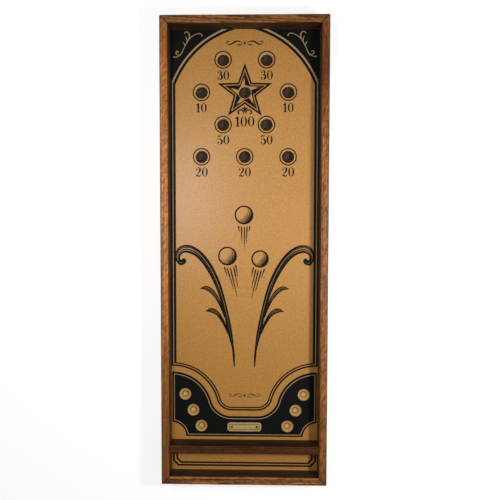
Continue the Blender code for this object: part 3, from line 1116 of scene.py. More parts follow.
@dataclass
class Rails:
    """The four rails of the frame, mitred at the corners, with slots for the keys."""

    top_radius: float = 0.0035
    foot_radius: float = 0.0015
    corner_radius: float = 0.005
    corner_steps: int = 8
    corner_stain: float = 0.9
    key: Triple = (0.014, 0.004, 0.036)
    key_gap: float = 0.0003
    pale: Colour = (0.58, 0.222, 0.056)
    body: Colour = (0.38, 0.138, 0.031)
    dark: Colour = (0.115, 0.038, 0.0085)
    # Inner-face colours: the end rails' faces are darker than the side rails', painted shade on faces turned
    # away from the light.
    side_face: Colour = (0.145, 0.058, 0.021)
    end_face_shaded: Colour = (0.066, 0.03, 0.014)
    knot_side: str = "right"
    knot_across: float = 0.002
    knot_along: float = 0.44
    plans: tuple[RailPlan, ...] = (
        RailPlan(
            "left", (-1, 0), (0.031, 0.055), tone=1.5, seed=1.3,
            fleck=0.72, slant=0.5, figure=0.55, fade=0.85,
        ),
        RailPlan(
            "right", (1, 0), (-0.046, 0.038), tone=0.93, seed=4.1,
            fleck=0.9, slant=0.2, figure=0.7, fade=0.25,
        ),
        RailPlan("far", (0, 1), (-0.006, 0.013), tone=0.7, seed=2.2, figure=1.3),
        RailPlan("near", (0, -1), (0.007, 0.016), tone=0.86, seed=5.7, figure=1.15),
    )

    def slot(self, key: str) -> Mesh:
        """Makes the shape that a corner key's slot is cut with.

        Args:
            key: The key's CAD node.

        Returns:
            Its mesh, in place.
        """
        middle = middle_of(key)
        turn = -math.copysign(math.pi / 4, middle.x * middle.y)
        size = Matrix.Diagonal([side + 2 * self.key_gap for side in self.key]).to_4x4()
        place = Matrix.Translation(middle) @ Matrix.Rotation(turn, 4, "Z") @ size
        shape = bmesh.new()
        bmesh.ops.create_cube(shape, size=1.0, matrix=place)
        return as_mesh("slot", shape)

    def corner_off(self, key: str) -> Mesh:
        """Makes the shape that takes an outer corner of the frame off to a round.

        Args:
            key: The CAD node of the corner's key.

        Returns:
            Its mesh, in place.
        """
        r, (x, y, z) = self.corner_radius, CAD_BOX[1]
        off = [(x - r, y + r), (x + r, y + r), (x + r, y - r)]
        outline = np.concatenate((arc((x - r, y - r), r, 0.0, 90.0, self.corner_steps), off))
        outline *= np.sign(middle_of(key).xy)
        make = Builder()
        make.close([make.loop(outline, level) for level in (-r, z + r)])
        return as_mesh("corner_off", make.shape)

    def stain_corners(self, mesh: Mesh) -> None:
        """Darkens the stain on the rounded corners of a rail.

        Args:
            mesh: The rail's mesh.
        """
        stain = mesh.attributes["edge"].data
        for vertex in mesh.vertices:
            if all(abs(vertex.co[i]) > CAD_BOX[1][i] - self.corner_radius for i in (0, 1)):
                stain[vertex.index].value = self.corner_stain

    def build(self) -> None:
        """Builds and dresses all four."""
        for plan in self.plans:
            node = f"rail_{plan.side}"
            lo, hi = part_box(node)
            length, width = sorted((hi.x - lo.x, hi.y - lo.y), reverse=True)
            stick = Moulding(length, width, lo.z, hi.z, self.top_radius, self.foot_radius, EndCut.MITRE)
            x, y = plan.outward
            outer = Vector((x * CAD_BOX[1].x, y * CAD_BOX[1].y, 0.0))
            mesh = stick.mesh(node, math.atan2(x, -y), outer, plan.seed)
            keys = [key for key in nodes_named("corner_key_") if plan.side in key]
            mesh = cut_out(mesh, [make(key) for key in keys for make in (self.slot, self.corner_off)])
            self.stain_corners(mesh)
            finishes = self.finishes(plan, middle_of(node), hi.z)
            add_piece(f"{plan.side}_rail", mesh, finishes, (node,))

    def finishes(self, plan: RailPlan, centre: Vector, top: float) -> tuple[Material, Material]:
        """Makes a rail's wood, and the darker wood of its inner face: partly stain, partly painted shade.

        Args:
            plan: The rail's plan.
            centre: The rail's middle.
            top: The height of its top.

        Returns:
            The two materials.
        """
        along_x = plan.grain is Grain.ALONG_X
        across = -centre.y if along_x else centre.x
        pith = (across + plan.pith[0], plan.pith[1] - top)
        knot = None
        if plan.side == self.knot_side:
            knot = Knot((centre.x + self.knot_across, self.knot_along, top))
        tones = [shade(colour, plan.tone) for colour in (self.pale, self.body, self.dark)]
        looks = {"fleck": plan.fleck, "slant": plan.slant, "figure": plan.figure, "fade": plan.fade}
        wood = Wood(f"stained_{plan.side}", plan.grain, *tones, pith, knot=knot, **looks)
        # The end rails' inner faces take the darker colour: painted shade.
        face = self.end_face_shaded if along_x else self.side_face
        return wood.material(), stained_and_shaded_face(f"stained_{plan.side}_face", plan.grain, face, pith)


@dataclass
class CrossBar:
    """The solid bar in front of the ball bay, stained darker than the frame."""

    top_radius: float = 0.002
    foot_radius: float = 0.0006
    screw_radius: float = 0.00205
    screw_point: float = 0.002
    screw_gap: float = 0.0003
    screw_sides: int = 24
    seed: float = 0.7
    pith: Point = (0.02, 0.04)
    pale: Colour = (0.14, 0.047, 0.013)
    body: Colour = (0.092, 0.03, 0.0082)
    dark: Colour = (0.039, 0.0123, 0.004)
    # The bar's upright faces are darker than its top: painted shade, as its far face lies in shade.
    face: Colour = (0.036, 0.0125, 0.005)

    def hole(self, node: str, foot: float) -> Mesh:
        """Makes the shape that a screw's hole is cut with.

        Args:
            node: The screw's CAD node.
            foot: The height of the bar's foot.

        Returns:
            Its mesh, in place.
        """
        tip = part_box(node)[1].z
        profile = (
            (self.screw_radius, foot - self.screw_point),
            (self.screw_radius, tip - self.screw_point),
            (self.screw_gap, tip + self.screw_gap),
        )
        make = Builder()
        make.close(make.turned(middle_of(node).xy, profile, self.screw_sides))
        return as_mesh("hole", make.shape)

    def build(self, foot: float) -> None:
        """Builds and dresses the bar.

        Args:
            foot: The height of the field that it stands on.
        """
        lo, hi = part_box("divider_bar")
        sides = (hi.x - lo.x, hi.y - lo.y, foot, hi.z)
        stick = Moulding(*sides, self.top_radius, self.foot_radius, EndCut.SQUARE, end_gap=0.0)
        mesh = stick.mesh("cross_bar", 0.0, Vector((0.0, lo.y, 0.0)), self.seed)
        mesh = cut_out(mesh, [self.hole(node, foot) for node in nodes_named("bar_screw_")])
        pith = (-lo.y + self.pith[0], self.pith[1] - hi.z)
        tones = (self.pale, self.body, self.dark)
        wood = Wood("stained_bar", Grain.ALONG_X, *tones, pith, edge_stain=0.5, gloss=0.15)
        face = stained_and_shaded_face("stained_bar_face", Grain.ALONG_X, self.face, pith)
        add_piece("cross_bar", mesh, (wood.material(), face), ("divider_bar",))


class BoardFace(IntEnum):
    """The field board's finishes, by the numbers of its faces."""

    TOP = 0
    POCKET = 1
    REST = 2
    RAW = 3


@dataclass
class FieldBoard:
    """The fibreboard field, with its pockets and its dished ball rests."""

    pocket_radius: float = 0.0151
    pocket_ease: float = 0.0005
    pocket_collar: float = 0.0006
    column_step: float = 0.0526
    row_step: float = 0.0775
    first_row: float = 0.0728
    rows: tuple[tuple[int, ...], ...] = ((-1, 1), (-2, 0, 2), (-1, 1), (-2, 0, 2))
    rest_radius: float = 0.0143
    rest_lip: float = 0.0001
    rest_rim: float = 0.0004
    rest_cup: Point = (0.0082, 0.0021)
    cup_flare: float = 0.0025
    rest_floor: float = 0.0031
    rest_depth: float = 0.005
    rest_sag: float = 0.00004
    rest_count: int = 3
    rest_step: Point = (0.02, 0.0398)
    rest_first: Point = (0.1068, 0.1116)
    rail_width: float = 0.019
    pin_hole: float = 0.0013
    pin_gap: float = 0.0003
    screw_hole: Point = (0.0038, 0.00205)
    screw_rim: float = 0.0003
    sides: int = 96
    hole_sides: int = 24

    def __post_init__(self) -> None:
        """Reads from the frame where the field lies."""
        self.low, self.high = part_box("field_board")
        self.top = self.high.z
        self.inner_end = CAD_BOX[1].y - self.rail_width

    def pocket_rows(self) -> list[list[Point]]:
        """Sets out the pockets.

        Returns:
            Their middles, row by row from the far rail.
        """
        found = []
        for number, columns in enumerate(self.rows):
            y = self.inner_end - self.first_row - number * self.row_step
            found.append([(column * self.column_step, y) for column in columns])
        return found

    def pockets(self) -> list[Point]:
        """Gives the pockets' middles in one list."""
        return [place for row in self.pocket_rows() for place in row]

    def rests(self) -> list[Point]:
        """Sets out the ball rests.

        Returns:
            Their middles, first those on the left.
        """
        across, along = self.rest_step
        x, y = self.rest_first
        places = [(x + i * across, y + i * along - self.inner_end) for i in range(self.rest_count)]
        return [(side * x, y) for side in (-1, 1) for x, y in places]

    def sink_pocket(self, make: Builder, place: Point) -> tuple[Corners, Corners]:
        """Cuts one pocket.

        Args:
            make: The board in the making.
            place: The pocket's middle.

        Returns:
            The corners of its lines on the board's top and underside.
        """
        lip = eased(self.pocket_radius, self.top, -self.pocket_ease)
        collar = (lip[0][0] + self.pocket_collar, self.top)
        loops = make.turned(place, [collar, *lip, (self.pocket_radius, self.low.z)], self.sides)
        make.walls(loops[:3], BoardFace.TOP)
        make.walls(loops[2:], BoardFace.POCKET)
        return loops[0], loops[-1]

    def sink_rest(self, make: Builder, place: Point) -> Corners:
        """Sinks one dished rest.

        Args:
            make: The board in the making.
            place: The rest's middle.

        Returns:
            The corners of its line on the board's top.
        """
        cup, step = self.rest_cup
        floor, depth = self.rest_floor, self.rest_depth
        section = np.array(
            (
                (self.rest_radius - self.rest_lip, self.rest_rim),
                (cup + self.cup_flare, 0.7 * step),
                (cup, step),
                (0.5 * (cup + floor), 0.55 * (step + depth)),
                (floor, depth),
            )
        )
        dish = [(self.rest_radius, 0.0), *smooth(section, 4), (0.5 * floor, depth + self.rest_sag)]
        loops = make.turned(place, [(radius, self.top - drop) for radius, drop in dish], self.sides)
        make.walls(loops, BoardFace.REST)
        make.cap(loops[-1:], BoardFace.REST)
        return loops[0]

    def drill_pin(self, make: Builder, node: str) -> Corners:
        """Drills the blind hole for a pin of the plate.

        Args:
            make: The board in the making.
            node: The pin's CAD node.

        Returns:
            The corners of its line on the board's top.
        """
        profile = [(self.pin_hole, z) for z in (self.top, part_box(node)[0].z - self.pin_gap)]
        loops = make.turned(middle_of(node).xy, profile, self.hole_sides)
        make.walls(loops, BoardFace.RAW)
        make.cap(loops[-1:], BoardFace.RAW)
        return loops[0]

    def drill_screw(self, make: Builder, node: str) -> tuple[Corners, Corners]:
        """Drills the countersunk hole for a screw of the cross bar.

        Args:
            make: The board in the making.
            node: The screw's CAD node.

        Returns:
            The corners of its lines on the board's top and underside.
        """
        low = self.low.z
        wide, narrow = self.screw_hole
        sunk = ((narrow, low + wide - narrow), (wide, low + self.screw_rim), (wide, low))
        loops = make.turned(middle_of(node).xy, ((narrow, self.top), *sunk), self.hole_sides)
        make.walls(loops, BoardFace.RAW)
        return loops[0], loops[-1]

    def build(self) -> None:
        """Builds and dresses the board."""
        make = Builder()
        pockets = [self.sink_pocket(make, place) for place in self.pockets()]
        rests = [self.sink_rest(make, place) for place in self.rests()]
        pins = [self.drill_pin(make, node) for node in nodes_named("plate_pin_")]
        screws = [self.drill_screw(make, node) for node in nodes_named("bar_screw_")]
        tops = [*(top for top, _ in pockets), *rests, *pins, *(top for top, _ in screws)]
        bottoms = [bottom for _, bottom in (*pockets, *screws)]
        lo, hi = self.low, self.high
        outline = np.array(((lo.x, lo.y), (hi.x, lo.y), (hi.x, hi.y), (lo.x, hi.y)))
        upper, lower = make.loop(outline, hi.z), make.loop(outline, lo.z)
        make.walls((upper, lower), BoardFace.RAW)
        make.cap([upper, *tops], BoardFace.TOP)
        make.cap([lower, *bottoms], BoardFace.RAW)
        looks = {
            BoardFace.TOP: Fibreboard("tan_board"),
            # The pocket walls are paler than the raw edges: painted light on the walls inside the pockets.
            BoardFace.POCKET: Mottled("pocket_edge", (0.6, 0.4, 0.22), (0.76, 0.56, 0.34), 240.0, 0.75, 0.08),
            BoardFace.REST: BareDish("bare_dish", self.top, self.rest_depth),
            BoardFace.RAW: Mottled("raw_edge", (0.3, 0.17, 0.075), (0.42, 0.25, 0.12), 500.0, 0.8, 0.1),
        }
        finishes = [looks[number].material() for number in BoardFace]
        add_piece("field", as_mesh("field", make.shape), finishes, ("field_board",))


class PrintLayer:
    """One layer of the print: flat fills and drawn strokes as a thin closed mesh on the field."""

    def __init__(self, name: str, level: float) -> None:
        """Starts an empty layer.

        Args:
            name: The piece's name.
            level: The layer's height.
        """
        self.name = name
        self.level = level
        self.flat = bmesh.new()
        self.strokes: list[tuple[np.ndarray, bool]] = []

    def corners(self, path: np.ndarray) -> Corners:
        """Lays a line, given in millimetres, on the field and returns its corners."""
        return [self.flat.verts.new((x * MM, y * MM, self.level)) for x, y in path]

    def fill(self, outline: np.ndarray, holes: Sequence[np.ndarray] = ()) -> None:
        """Fills an outline, apart from its holes.

        Args:
            outline: The closed line round the fill.
            holes: Closed lines inside it.
        """
        edges = []
        for path in (outline, *holes):
            row = self.corners(path)
            edges += [self.flat.edges.new(pair) for pair in zip(row, row[1:] + row[:1])]
        bmesh.ops.triangle_fill(self.flat, use_beauty=True, edges=edges, normal=(0, 0, 1))

    def band(self, one: np.ndarray, other: np.ndarray, closed: bool = False) -> None:
        """Fills the strip between two lines.

        Args:
            one: The first line.
            other: The second one, with as many points.
            closed: Whether both end where they start.
        """
        near, far = self.corners(one), self.corners(other)
        if closed:
            near, far = near + near[:1], far + far[:1]
        for corners in zip(near, near[1:], far[1:], far):
            self.flat.faces.new(corners)

    def line(self, path: np.ndarray, width: float, closed: bool = False) -> None:
        """Draws an even line of that width."""
        self.band(offset(path, width / 2, closed), offset(path, -width / 2, closed), closed)

    def draw(
        self,
        points: Sequence[Triple],
        per_span: int = 8,
        closed: bool = False,
        place: Point = (0.0, 0.0),
        scale: float = 1.0,
        bold: float = 1.0,
    ) -> None:
        """Draws a smooth stroke through points, each with half its width there, scaled and then placed."""
        sized = np.array(points, float) * (scale, scale, scale * bold) + (*place, 0.0)
        self.strokes.append((smooth(sized, per_span, closed), closed))

    def both(self, points: Sequence[Triple], **settings: object) -> None:
        """Draws a stroke whose origin is on the board's middle line, and its reflection."""
        self.draw(points, **settings)
        self.draw(mirror(points), **settings)

    def trim(self, direction: Triple, reach: float) -> None:
        """Cuts the fills off at an edge of the field.

        Args:
            direction: The way to the edge from the board's middle.
            reach: How far away the edge is, in metres.
        """
        outward = Vector(direction)
        everything = [*self.flat.verts, *self.flat.edges, *self.flat.faces]
        plane = {"plane_co": reach * outward, "plane_no": outward}
        bmesh.ops.bisect_plane(self.flat, geom=everything, clear_outer=True, **plane)

    def thicken(self) -> None:
        """Makes closed solids of the flat fills."""
        self.flat.normal_update()
        faces = list(self.flat.faces)
        for face in faces:
            if face.normal.z < 0:
                face.normal_flip()
        loops = [edge.link_loops[0] for edge in self.flat.edges if edge.is_boundary]
        rims = [(loop.vert, loop.link_loop_next.vert) for loop in loops]
        rise = Vector((0, 0, INK_THICKNESS))
        raised = {corner: self.flat.verts.new(corner.co + rise) for corner in list(self.flat.verts)}
        for face in faces:
            self.flat.faces.new([raised[corner] for corner in face.verts])
        for a, b in rims:
            self.flat.faces.new((a, b, raised[b], raised[a]))
        for face in faces:
            face.normal_flip()

    def curves(self) -> bpy.types.Curve:
        """Lays the strokes as curves.

        Returns:
            The curves, whose radius is half the stroke's width.
        """
        data = bpy.data.curves.new(self.name, "CURVE")
        data.dimensions = "3D"
        for number, (path, closed) in enumerate(self.strokes):
            spline = data.splines.new("POLY")
            spline.points.add(len(path) - 1)
            spline.use_cyclic_u = closed
            z = self.level + number * STROKE_STEP
            for point, (x, y, half) in zip(spline.points, path):
                point.co = (x * MM, y * MM, z, 1.0)
                point.radius = max(half, THINNEST_STROKE) * MM
        return data

    def build(self, pen: StrokeTool, finish: Material) -> None:
        """Makes the layer's mesh and puts it on the board.

        Args:
            pen: The tree that sweeps the strokes.
            finish: The ink.
        """
        self.thicken()
        if self.strokes:
            values = {"Thickness": INK_THICKNESS, "Material": finish}
            self.flat.from_mesh(pen.apply(self.curves(), values))
        mesh = bpy.data.meshes.new(self.name)
        self.flat.to_mesh(mesh)
        self.flat.free()
        add_piece(self.name, mesh, (finish,))


@dataclass(frozen=True)
class Digit:
    """A digit of the print: its strokes and round ends on a height of 1, and its width."""

    width: float
    strokes: tuple[tuple[Triple, ...], ...]
    dots: tuple[Triple, ...] = ()
    closed: bool = False


def oval(centre: Point, radii: Point, thin: float, swell: float, steps: int) -> tuple[Triple, ...]:
    """Draws a closed stroke round an oval, thin at top and bottom and bolder by swell at its sides."""
    turns = [(math.cos(a), math.sin(a)) for a in np.linspace(0.0, math.tau, steps, endpoint=False)]
    return tuple((centre[0] - radii[0] * c, centre[1] + radii[1] * s, thin + swell * c**2) for c, s in turns)


BOWL = (
    (0.48, 0.49, 0.07), (0.535, 0.3, 0.09), (0.47, 0.1, 0.07),
    (0.28, 0.02, 0.02), (0.1, 0.06, 0.02), (0.06, 0.17, 0.03),
)
DIGITS = {
    "0": Digit(0.62, (oval((0.31, 0.5), (0.235, 0.482), 0.018, 0.06, 24),), closed=True),
    "1": Digit(
        0.42,
        (
            ((0.23, 0.02, 0.075), (0.23, 0.98, 0.075)),
            ((0.02, 0.02, 0.028), (0.44, 0.02, 0.028)),
            ((0.26, 0.95, 0.05), (0.14, 0.83, 0.06), (0.0, 0.76, 0.02)),
        ),
    ),
    "2": Digit(
        0.6,
        (
            (
                (0.07, 0.72, 0.02), (0.1, 0.9, 0.02), (0.29, 0.98, 0.022), (0.47, 0.88, 0.07),
                (0.49, 0.7, 0.085), (0.36, 0.46, 0.055), (0.17, 0.23, 0.03), (0.06, 0.06, 0.025),
            ),
            (
                (0.06, 0.05, 0.045), (0.2, 0.09, 0.055), (0.36, 0.05, 0.06),
                (0.48, 0.07, 0.04), (0.55, 0.26, 0.012),
            ),
        ),
        ((0.125, 0.74, 0.075),),
    ),
    "3": Digit(
        0.6,
        (
            (
                (0.08, 0.77, 0.02), (0.12, 0.92, 0.02), (0.28, 0.98, 0.022), (0.45, 0.88, 0.065),
                (0.46, 0.72, 0.075), (0.37, 0.58, 0.04), (0.22, 0.53, 0.016),
            ),
            ((0.22, 0.53, 0.016), (0.36, 0.52, 0.035), *BOWL),
        ),
        ((0.135, 0.79, 0.07), (0.125, 0.2, 0.085)),
    ),
    "5": Digit(
        0.6,
        (
            ((0.1, 0.93, 0.045), (0.28, 0.91, 0.055), (0.49, 0.96, 0.03)),
            ((0.1, 0.95, 0.02), (0.09, 0.5, 0.018)),
            ((0.09, 0.5, 0.018), (0.2, 0.6, 0.022), (0.34, 0.61, 0.035), *BOWL),
        ),
        ((0.125, 0.2, 0.085),),
    ),
}


@dataclass
class FieldPrint:
    """The black print on the field: its borders, star, rings, numbers and ornament, in millimetres."""

    board: FieldBoard
    edge: float = 181.0
    beyond: float = 600.0
    margin: float = 0.1
    side_line: Point = (168.6, 174.3)
    side_strip: float = 176.6
    spring: float = 412.2
    arch_pulls: tuple[Point, ...] = ((160.8, 442.0), (127.0, 515.6), (26.4, 546.0))
    arch_steps: int = 32
    arch_line: float = 6.2
    arch_gap: float = 4.4
    sweep_centre: Point = (-178.5, -393.5)
    sweep_radius: float = 119.3
    bowl_centre: Point = (-32.0, -352.6)
    bowl_radius: float = 33.0
    upper_line: Point = (2.8, 3.3)
    lower_line: Point = (-3.1, 4.0)
    notch_centre: Point = (-181.5, -457.5)
    panel_rim: tuple[float, ...] = (19.4, 179.2, -456.3, 36.7)
    panel_gap: tuple[float, ...] = (24.9, 175.0, -452.1, 41.2)
    panel_body: tuple[float, ...] = (26.5, 173.4, -450.6, 42.7)
    panel_line: float = 1.7
    rest_gap: float = 0.15
    bay_lines: tuple[tuple[float, ...], ...] = (
        (168.0, -512.3, -522.7, 158.0, 4.3),
        (176.3, -517.6, -529.6, 165.0, 4.5),
    )
    bar_gap: float = 0.4
    ring_radius: float = 19.9
    ring_line: float = 2.8
    scores: tuple[tuple[str, ...], ...] = (
        ("30", "30"),
        ("10", "100", "10"),
        ("50", "50"),
        ("20", "20", "20"),
    )
    number_height: float = 22.0
    number_drop: float = 36.6
    top_score: Point = (1.11, 1.91)
    digit_gap: float = 0.11
    boldness: float = 1.15
    star_radius: float = 67.8
    star_waist: float = 0.407
    star_steps: tuple[float, ...] = (-0.6, 3.7, 5.6, 8.4)
    star_clear: float = 16.5
    star_hatch: tuple[float, ...] = (0.12, 0.24, 0.36)
    ball_line: float = 3.6
    ball_arcs: int = 13
    ball_shade: float = -38.0
    black_ink: tuple[Colour, Colour] = ((0.0046, 0.0046, 0.0042), (0.0084, 0.0084, 0.0076))
    pale_ink: Colour = (0.42, 0.285, 0.145)

    def __post_init__(self) -> None:
        """Starts the layers' count, the pen and the inks."""
        self.count = 0
        self.pen = StrokeTool()
        self.ink = Mottled("black_ink", *self.black_ink, 420.0, 0.55, 0.1).material()
        pale_tones = (shade(self.pale_ink, share) for share in (0.88, 1.1))
        self.pale = Mottled("pale_line", *pale_tones, 500.0, 0.62, 0.12).material()

    def next_level(self) -> float:
        """Counts one layer up and gives its height."""
        self.count += 1
        return self.board.top + INK_LIFT + self.count * LAYER_STEP

    def layer(self, name: str) -> PrintLayer:
        """Starts the next layer up."""
        return PrintLayer(name, self.next_level())

    def arch(self) -> np.ndarray:
        """Draws the right side of the border's arch.

        Returns:
            Its outer line, from the top of the upright to the far rail.
        """
        first = np.array((self.side_line[1], self.spring))
        one, two, last = (np.array(pull) for pull in self.arch_pulls)
        t = np.linspace(0.0, 1.0, self.arch_steps + 1)[:, None]
        return (1 - t) ** 3 * first + 3 * (1 - t) ** 2 * t * one + 3 * (1 - t) * t**2 * two + t**3 * last

    def upright(self, x: float, foot: float, inward: float) -> np.ndarray:
        """Draws the right side of a border line: its upright, and the arch that it runs into.

        Args:
            x: Where the upright stands.
            foot: Where it starts.
            inward: How far inside the outer line of the arch it runs.

        Returns:
            Its points, from the foot.
        """
        line = np.concatenate((((x, foot),), offset(self.arch(), inward)))
        line[1, 0] = x
        return line

    def sweep(self, out: float) -> np.ndarray:
        """Draws the line that sweeps across the board's near part.

        Args:
            out: How far up the board from the sweep's middle line it lies.

        Returns:
            Its points, from the left upright to the right one.
        """
        run, rise = np.subtract(self.bowl_centre, self.sweep_centre)
        turn = math.degrees(math.atan2(rise, run))
        shoulder = arc(self.sweep_centre, self.sweep_radius + out, 90.0, turn, 24)
        bowl = arc(self.bowl_centre, self.bowl_radius - out, 180.0 + turn, 270.0, 20)[1:]
        left = np.concatenate((shoulder, bowl))
        return np.concatenate((left, mirror(left)))

    def panel(self, inset: float, side: float, foot: float, notch: float) -> np.ndarray:
        """Draws an outline of the black panel.

        Args:
            inset: How far below the sweep's middle line its top lies.
            side: How far out its sides lie.
            foot: Where its lower edge lies.
            notch: The radius of its scooped lower corners.

        Returns:
            The closed line.
        """
        top = self.sweep(-inset)
        x, y = self.sweep_centre
        shoulder = y + math.sqrt((self.sweep_radius - inset) ** 2 - (side + x) ** 2)
        top = np.concatenate(([(-side, shoulder)], top[np.abs(top[:, 0]) < side], [(side, shoulder)]))
        x, y = self.notch_centre
        start = math.degrees(math.acos((-side - x) / notch))
        end = math.degrees(math.asin((foot - y) / notch))
        scoop = arc(self.notch_centre, notch, end, start, 16)
        return np.concatenate((top, mirror(scoop), scoop))

    def draw_border(self) -> None:
        """Draws the arched border, its pale line, and the filled far corners."""
        foot = self.sweep(self.upper_line[0] - self.upper_line[1] / 2)[0, 1]
        strip_foot = self.sweep(self.lower_line[0] + self.lower_line[1] / 2)[0, 1]
        outer = self.upright(self.side_line[1], foot, 0.0)
        inner = self.upright(self.side_line[0], foot, self.arch_line)
        strip = self.upright(self.side_strip, strip_foot, -self.arch_gap)
        ends = ((strip[-1, 0], self.beyond), (self.edge, self.beyond), (self.edge, strip_foot))
        corner = np.concatenate((strip, ends))
        border = self.layer("print_border")
        edging = self.layer("print_arch_line")
        for turn in (np.array, mirror):
            border.band(turn(outer), turn(inner))
            border.fill(turn(corner))
            edging.band(turn(outer), turn(strip))
        margin = self.margin * MM
        far = self.board.high.y - margin
        border.trim((0, 1, 0), far)
        border.trim((1, 0, 0), self.board.high.x - margin)
        border.trim((-1, 0, 0), -self.board.low.x - margin)
        border.build(self.pen, self.ink)
        edging.trim((0, 1, 0), far)
        edging.build(self.pen, self.pale)

    def draw_scrolls(self) -> None:
        """Draws the pale scrolls on the far corners."""
        vine = (
            (-103.5, 523.5, 1.3), (-104.5, 528.3, 1.0), (-110, 530.8, 0.9), (-117, 529.5, 0.8),
            (-124, 526.3, 0.8), (-131, 521.3, 0.9), (-138, 513.5, 1.0), (-143, 504.5, 0.9),
            (-148, 495, 0.9), (-151, 488, 0.9), (-155, 481.7, 1.0), (-161, 477.2, 1.0),
            (-167, 475.2, 1.0), (-173.5, 475.8, 1.1),
        )
        near_curl = (
            (-156, 480, 0.3), (-162, 480.3, 0.9), (-166.3, 484, 1.2),
            (-165, 488.7, 1.2), (-161.4, 488.6, 1.0), (-160.6, 485.5, 0.5),
        )
        far_curl = (
            (-136.5, 516.5, 0.5), (-134, 523, 1.3), (-134.8, 530, 1.3),
            (-138.6, 534.3, 1.0), (-143, 534.6, 0.9), (-146.4, 530.8, 0.9),
        )
        far_leaf = ((-140.3, 511.5, 0.4), (-140.3, 518, 1.1), (-143.6, 524.5, 0.3))
        near_leaf = ((-145, 502, 0.4), (-146.6, 507, 1.0), (-150.5, 510.3, 0.3))
        layer = self.layer("print_corner_scrolls")
        for points in (vine, near_curl, far_curl, far_leaf, near_leaf):
            layer.both(points)
        layer.build(self.pen, self.pale)

    def draw_sweep(self) -> None:
        """Draws the double line that sweeps across the board."""
        layer = self.layer("print_sweep")
        rows = ((self.upper_line, self.side_line[1]), (self.lower_line, self.edge - 0.5))
        for (out, width), end in rows:
            path = self.sweep(out)
            tip = np.array(((end, path[0, 1]),))
            between = path[np.abs(path[:, 0]) < end - 1.0]
            layer.line(np.concatenate((mirror(tip), between, tip)), width)
        layer.build(self.pen, self.ink)

    def draw_panel(self) -> None:
        """Draws the black panel below the sweep, with its pale line."""
        layer = self.layer("print_panel")
        layer.fill(self.panel(*self.panel_rim), [self.panel(*self.panel_gap)])
        hole = self.board.rest_radius / MM + self.rest_gap
        holes = [circle((x / MM, y / MM), hole, 72) for x, y in self.board.rests()]
        layer.fill(self.panel(*self.panel_body), holes)
        layer.build(self.pen, self.ink)
        edging = self.layer("print_panel_line")
        between = np.mean((self.panel_gap, self.panel_body), axis=0)
        edging.line(self.panel(*between), self.panel_line, closed=True)
        edging.build(self.pen, self.pale)

    def draw_bay(self) -> None:
        """Draws the double line round the ball bay."""
        layer = self.layer("print_bay")
        bar_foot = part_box("divider_bar")[0].y / MM - self.bar_gap
        for side, drop, level, cut, width in self.bay_lines:
            left = np.array(((-side, bar_foot), (-side, drop), (-cut, level)))
            layer.line(np.concatenate((left, mirror(left))), width)
        layer.build(self.pen, self.ink)

    def draw_rings(self) -> None:
        """Draws a ring round each pocket but the one in the star."""
        level = self.next_level()
        star = self.star_place()
        places = [(x, y, level) for x, y in self.board.pockets() if (x, y) != star]
        centres = bpy.data.meshes.new("centres")
        centres.from_pydata(places, [], [])
        values = {
            "Thickness": INK_THICKNESS,
            "Radius": self.ring_radius * MM,
            "Half line": self.ring_line / 2 * MM,
            "Material": self.ink,
        }
        add_piece("print_rings", RingTool().apply(centres, values))

    def star_place(self) -> Point:
        """Gives the middle of the pocket that the star stands round, in metres."""
        return self.board.pocket_rows()[1][1]

    def star(self) -> np.ndarray:
        """Draws a five-pointed star.

        Returns:
            Its ten corners about the middle, from the top point anticlockwise.
        """
        angles = np.radians(90.0 + 36.0 * np.arange(10))
        sizes = np.tile((self.star_radius, self.star_radius * self.star_waist), 5)
        return np.stack((sizes * np.cos(angles), sizes * np.sin(angles)), 1)

    def draw_star(self) -> None:
        """Draws the faceted star, one half of each point black and the other hatched."""
        middle = np.array(self.star_place()) / MM
        layer = self.layer("print_star")
        edges = [offset(self.star(), depth, closed=True) for depth in self.star_steps]
        for one, other in (edges[:2], edges[2:]):
            layer.band(one + middle, other + middle, closed=True)
        facets = edges[-1]
        for i in range(0, 10, 2):
            point, waist = facets[i], facets[i - 1]
            start, end = (math.degrees(math.atan2(y, x)) for x, y in (point, waist))
            end -= 360.0 * round((end - start) / 360.0)
            inner = arc((0.0, 0.0), self.star_clear, start, end, 8)
            layer.fill(np.concatenate((inner, [waist, point])) + middle)
        for i in range(0, 10, 2):
            point, waist = facets[i], facets[i + 1]
            for share in self.star_hatch:
                tip = point * (0.94 - 0.16 * share)
                foot = tip + (waist - point) * share
                foot *= max(1.0, (self.star_clear + 1.0) / np.linalg.norm(foot))
                layer.draw(((*tip, 1.2), (*foot, 0.5)), per_span=1, place=middle)
        layer.build(self.pen, self.ink)

    def draw_sprout(self) -> None:
        """Draws the small ornament below the star."""
        curl = (
            (-3.4, 338.0, 0.4), (-2.8, 343.4, 1.4), (-6.4, 347.8, 1.6), (-12.0, 348.3, 1.6),
            (-16.0, 344.8, 1.6), (-15.8, 340.6, 1.7), (-12.6, 339.6, 2.1),
        )
        layer = self.layer("print_sprout")
        layer.both(curl)
        layer.draw(((0, 343.0, 0.5), (0, 349.6, 2.6), (0, 358.6, 0.3)))
        layer.both(((-0.6, 346.8, 0.8), (-3.5, 351.6, 2.1), (-7.4, 353.8, 0.3)))
        layer.build(self.pen, self.ink)

    def draw_numbers(self) -> None:
        """Draws the score below each pocket, and the star's own larger and further down."""
        layer = self.layer("print_numbers")
        for row, texts in zip(self.board.pocket_rows(), self.scores):
            for (x, y), text in zip(row, texts):
                larger, further = self.top_score if len(text) > 2 else (1.0, 1.0)
                middle = (x / MM, y / MM - self.number_drop * further)
                self.write(layer, text, middle, self.number_height * larger)
        layer.build(self.pen, self.ink)

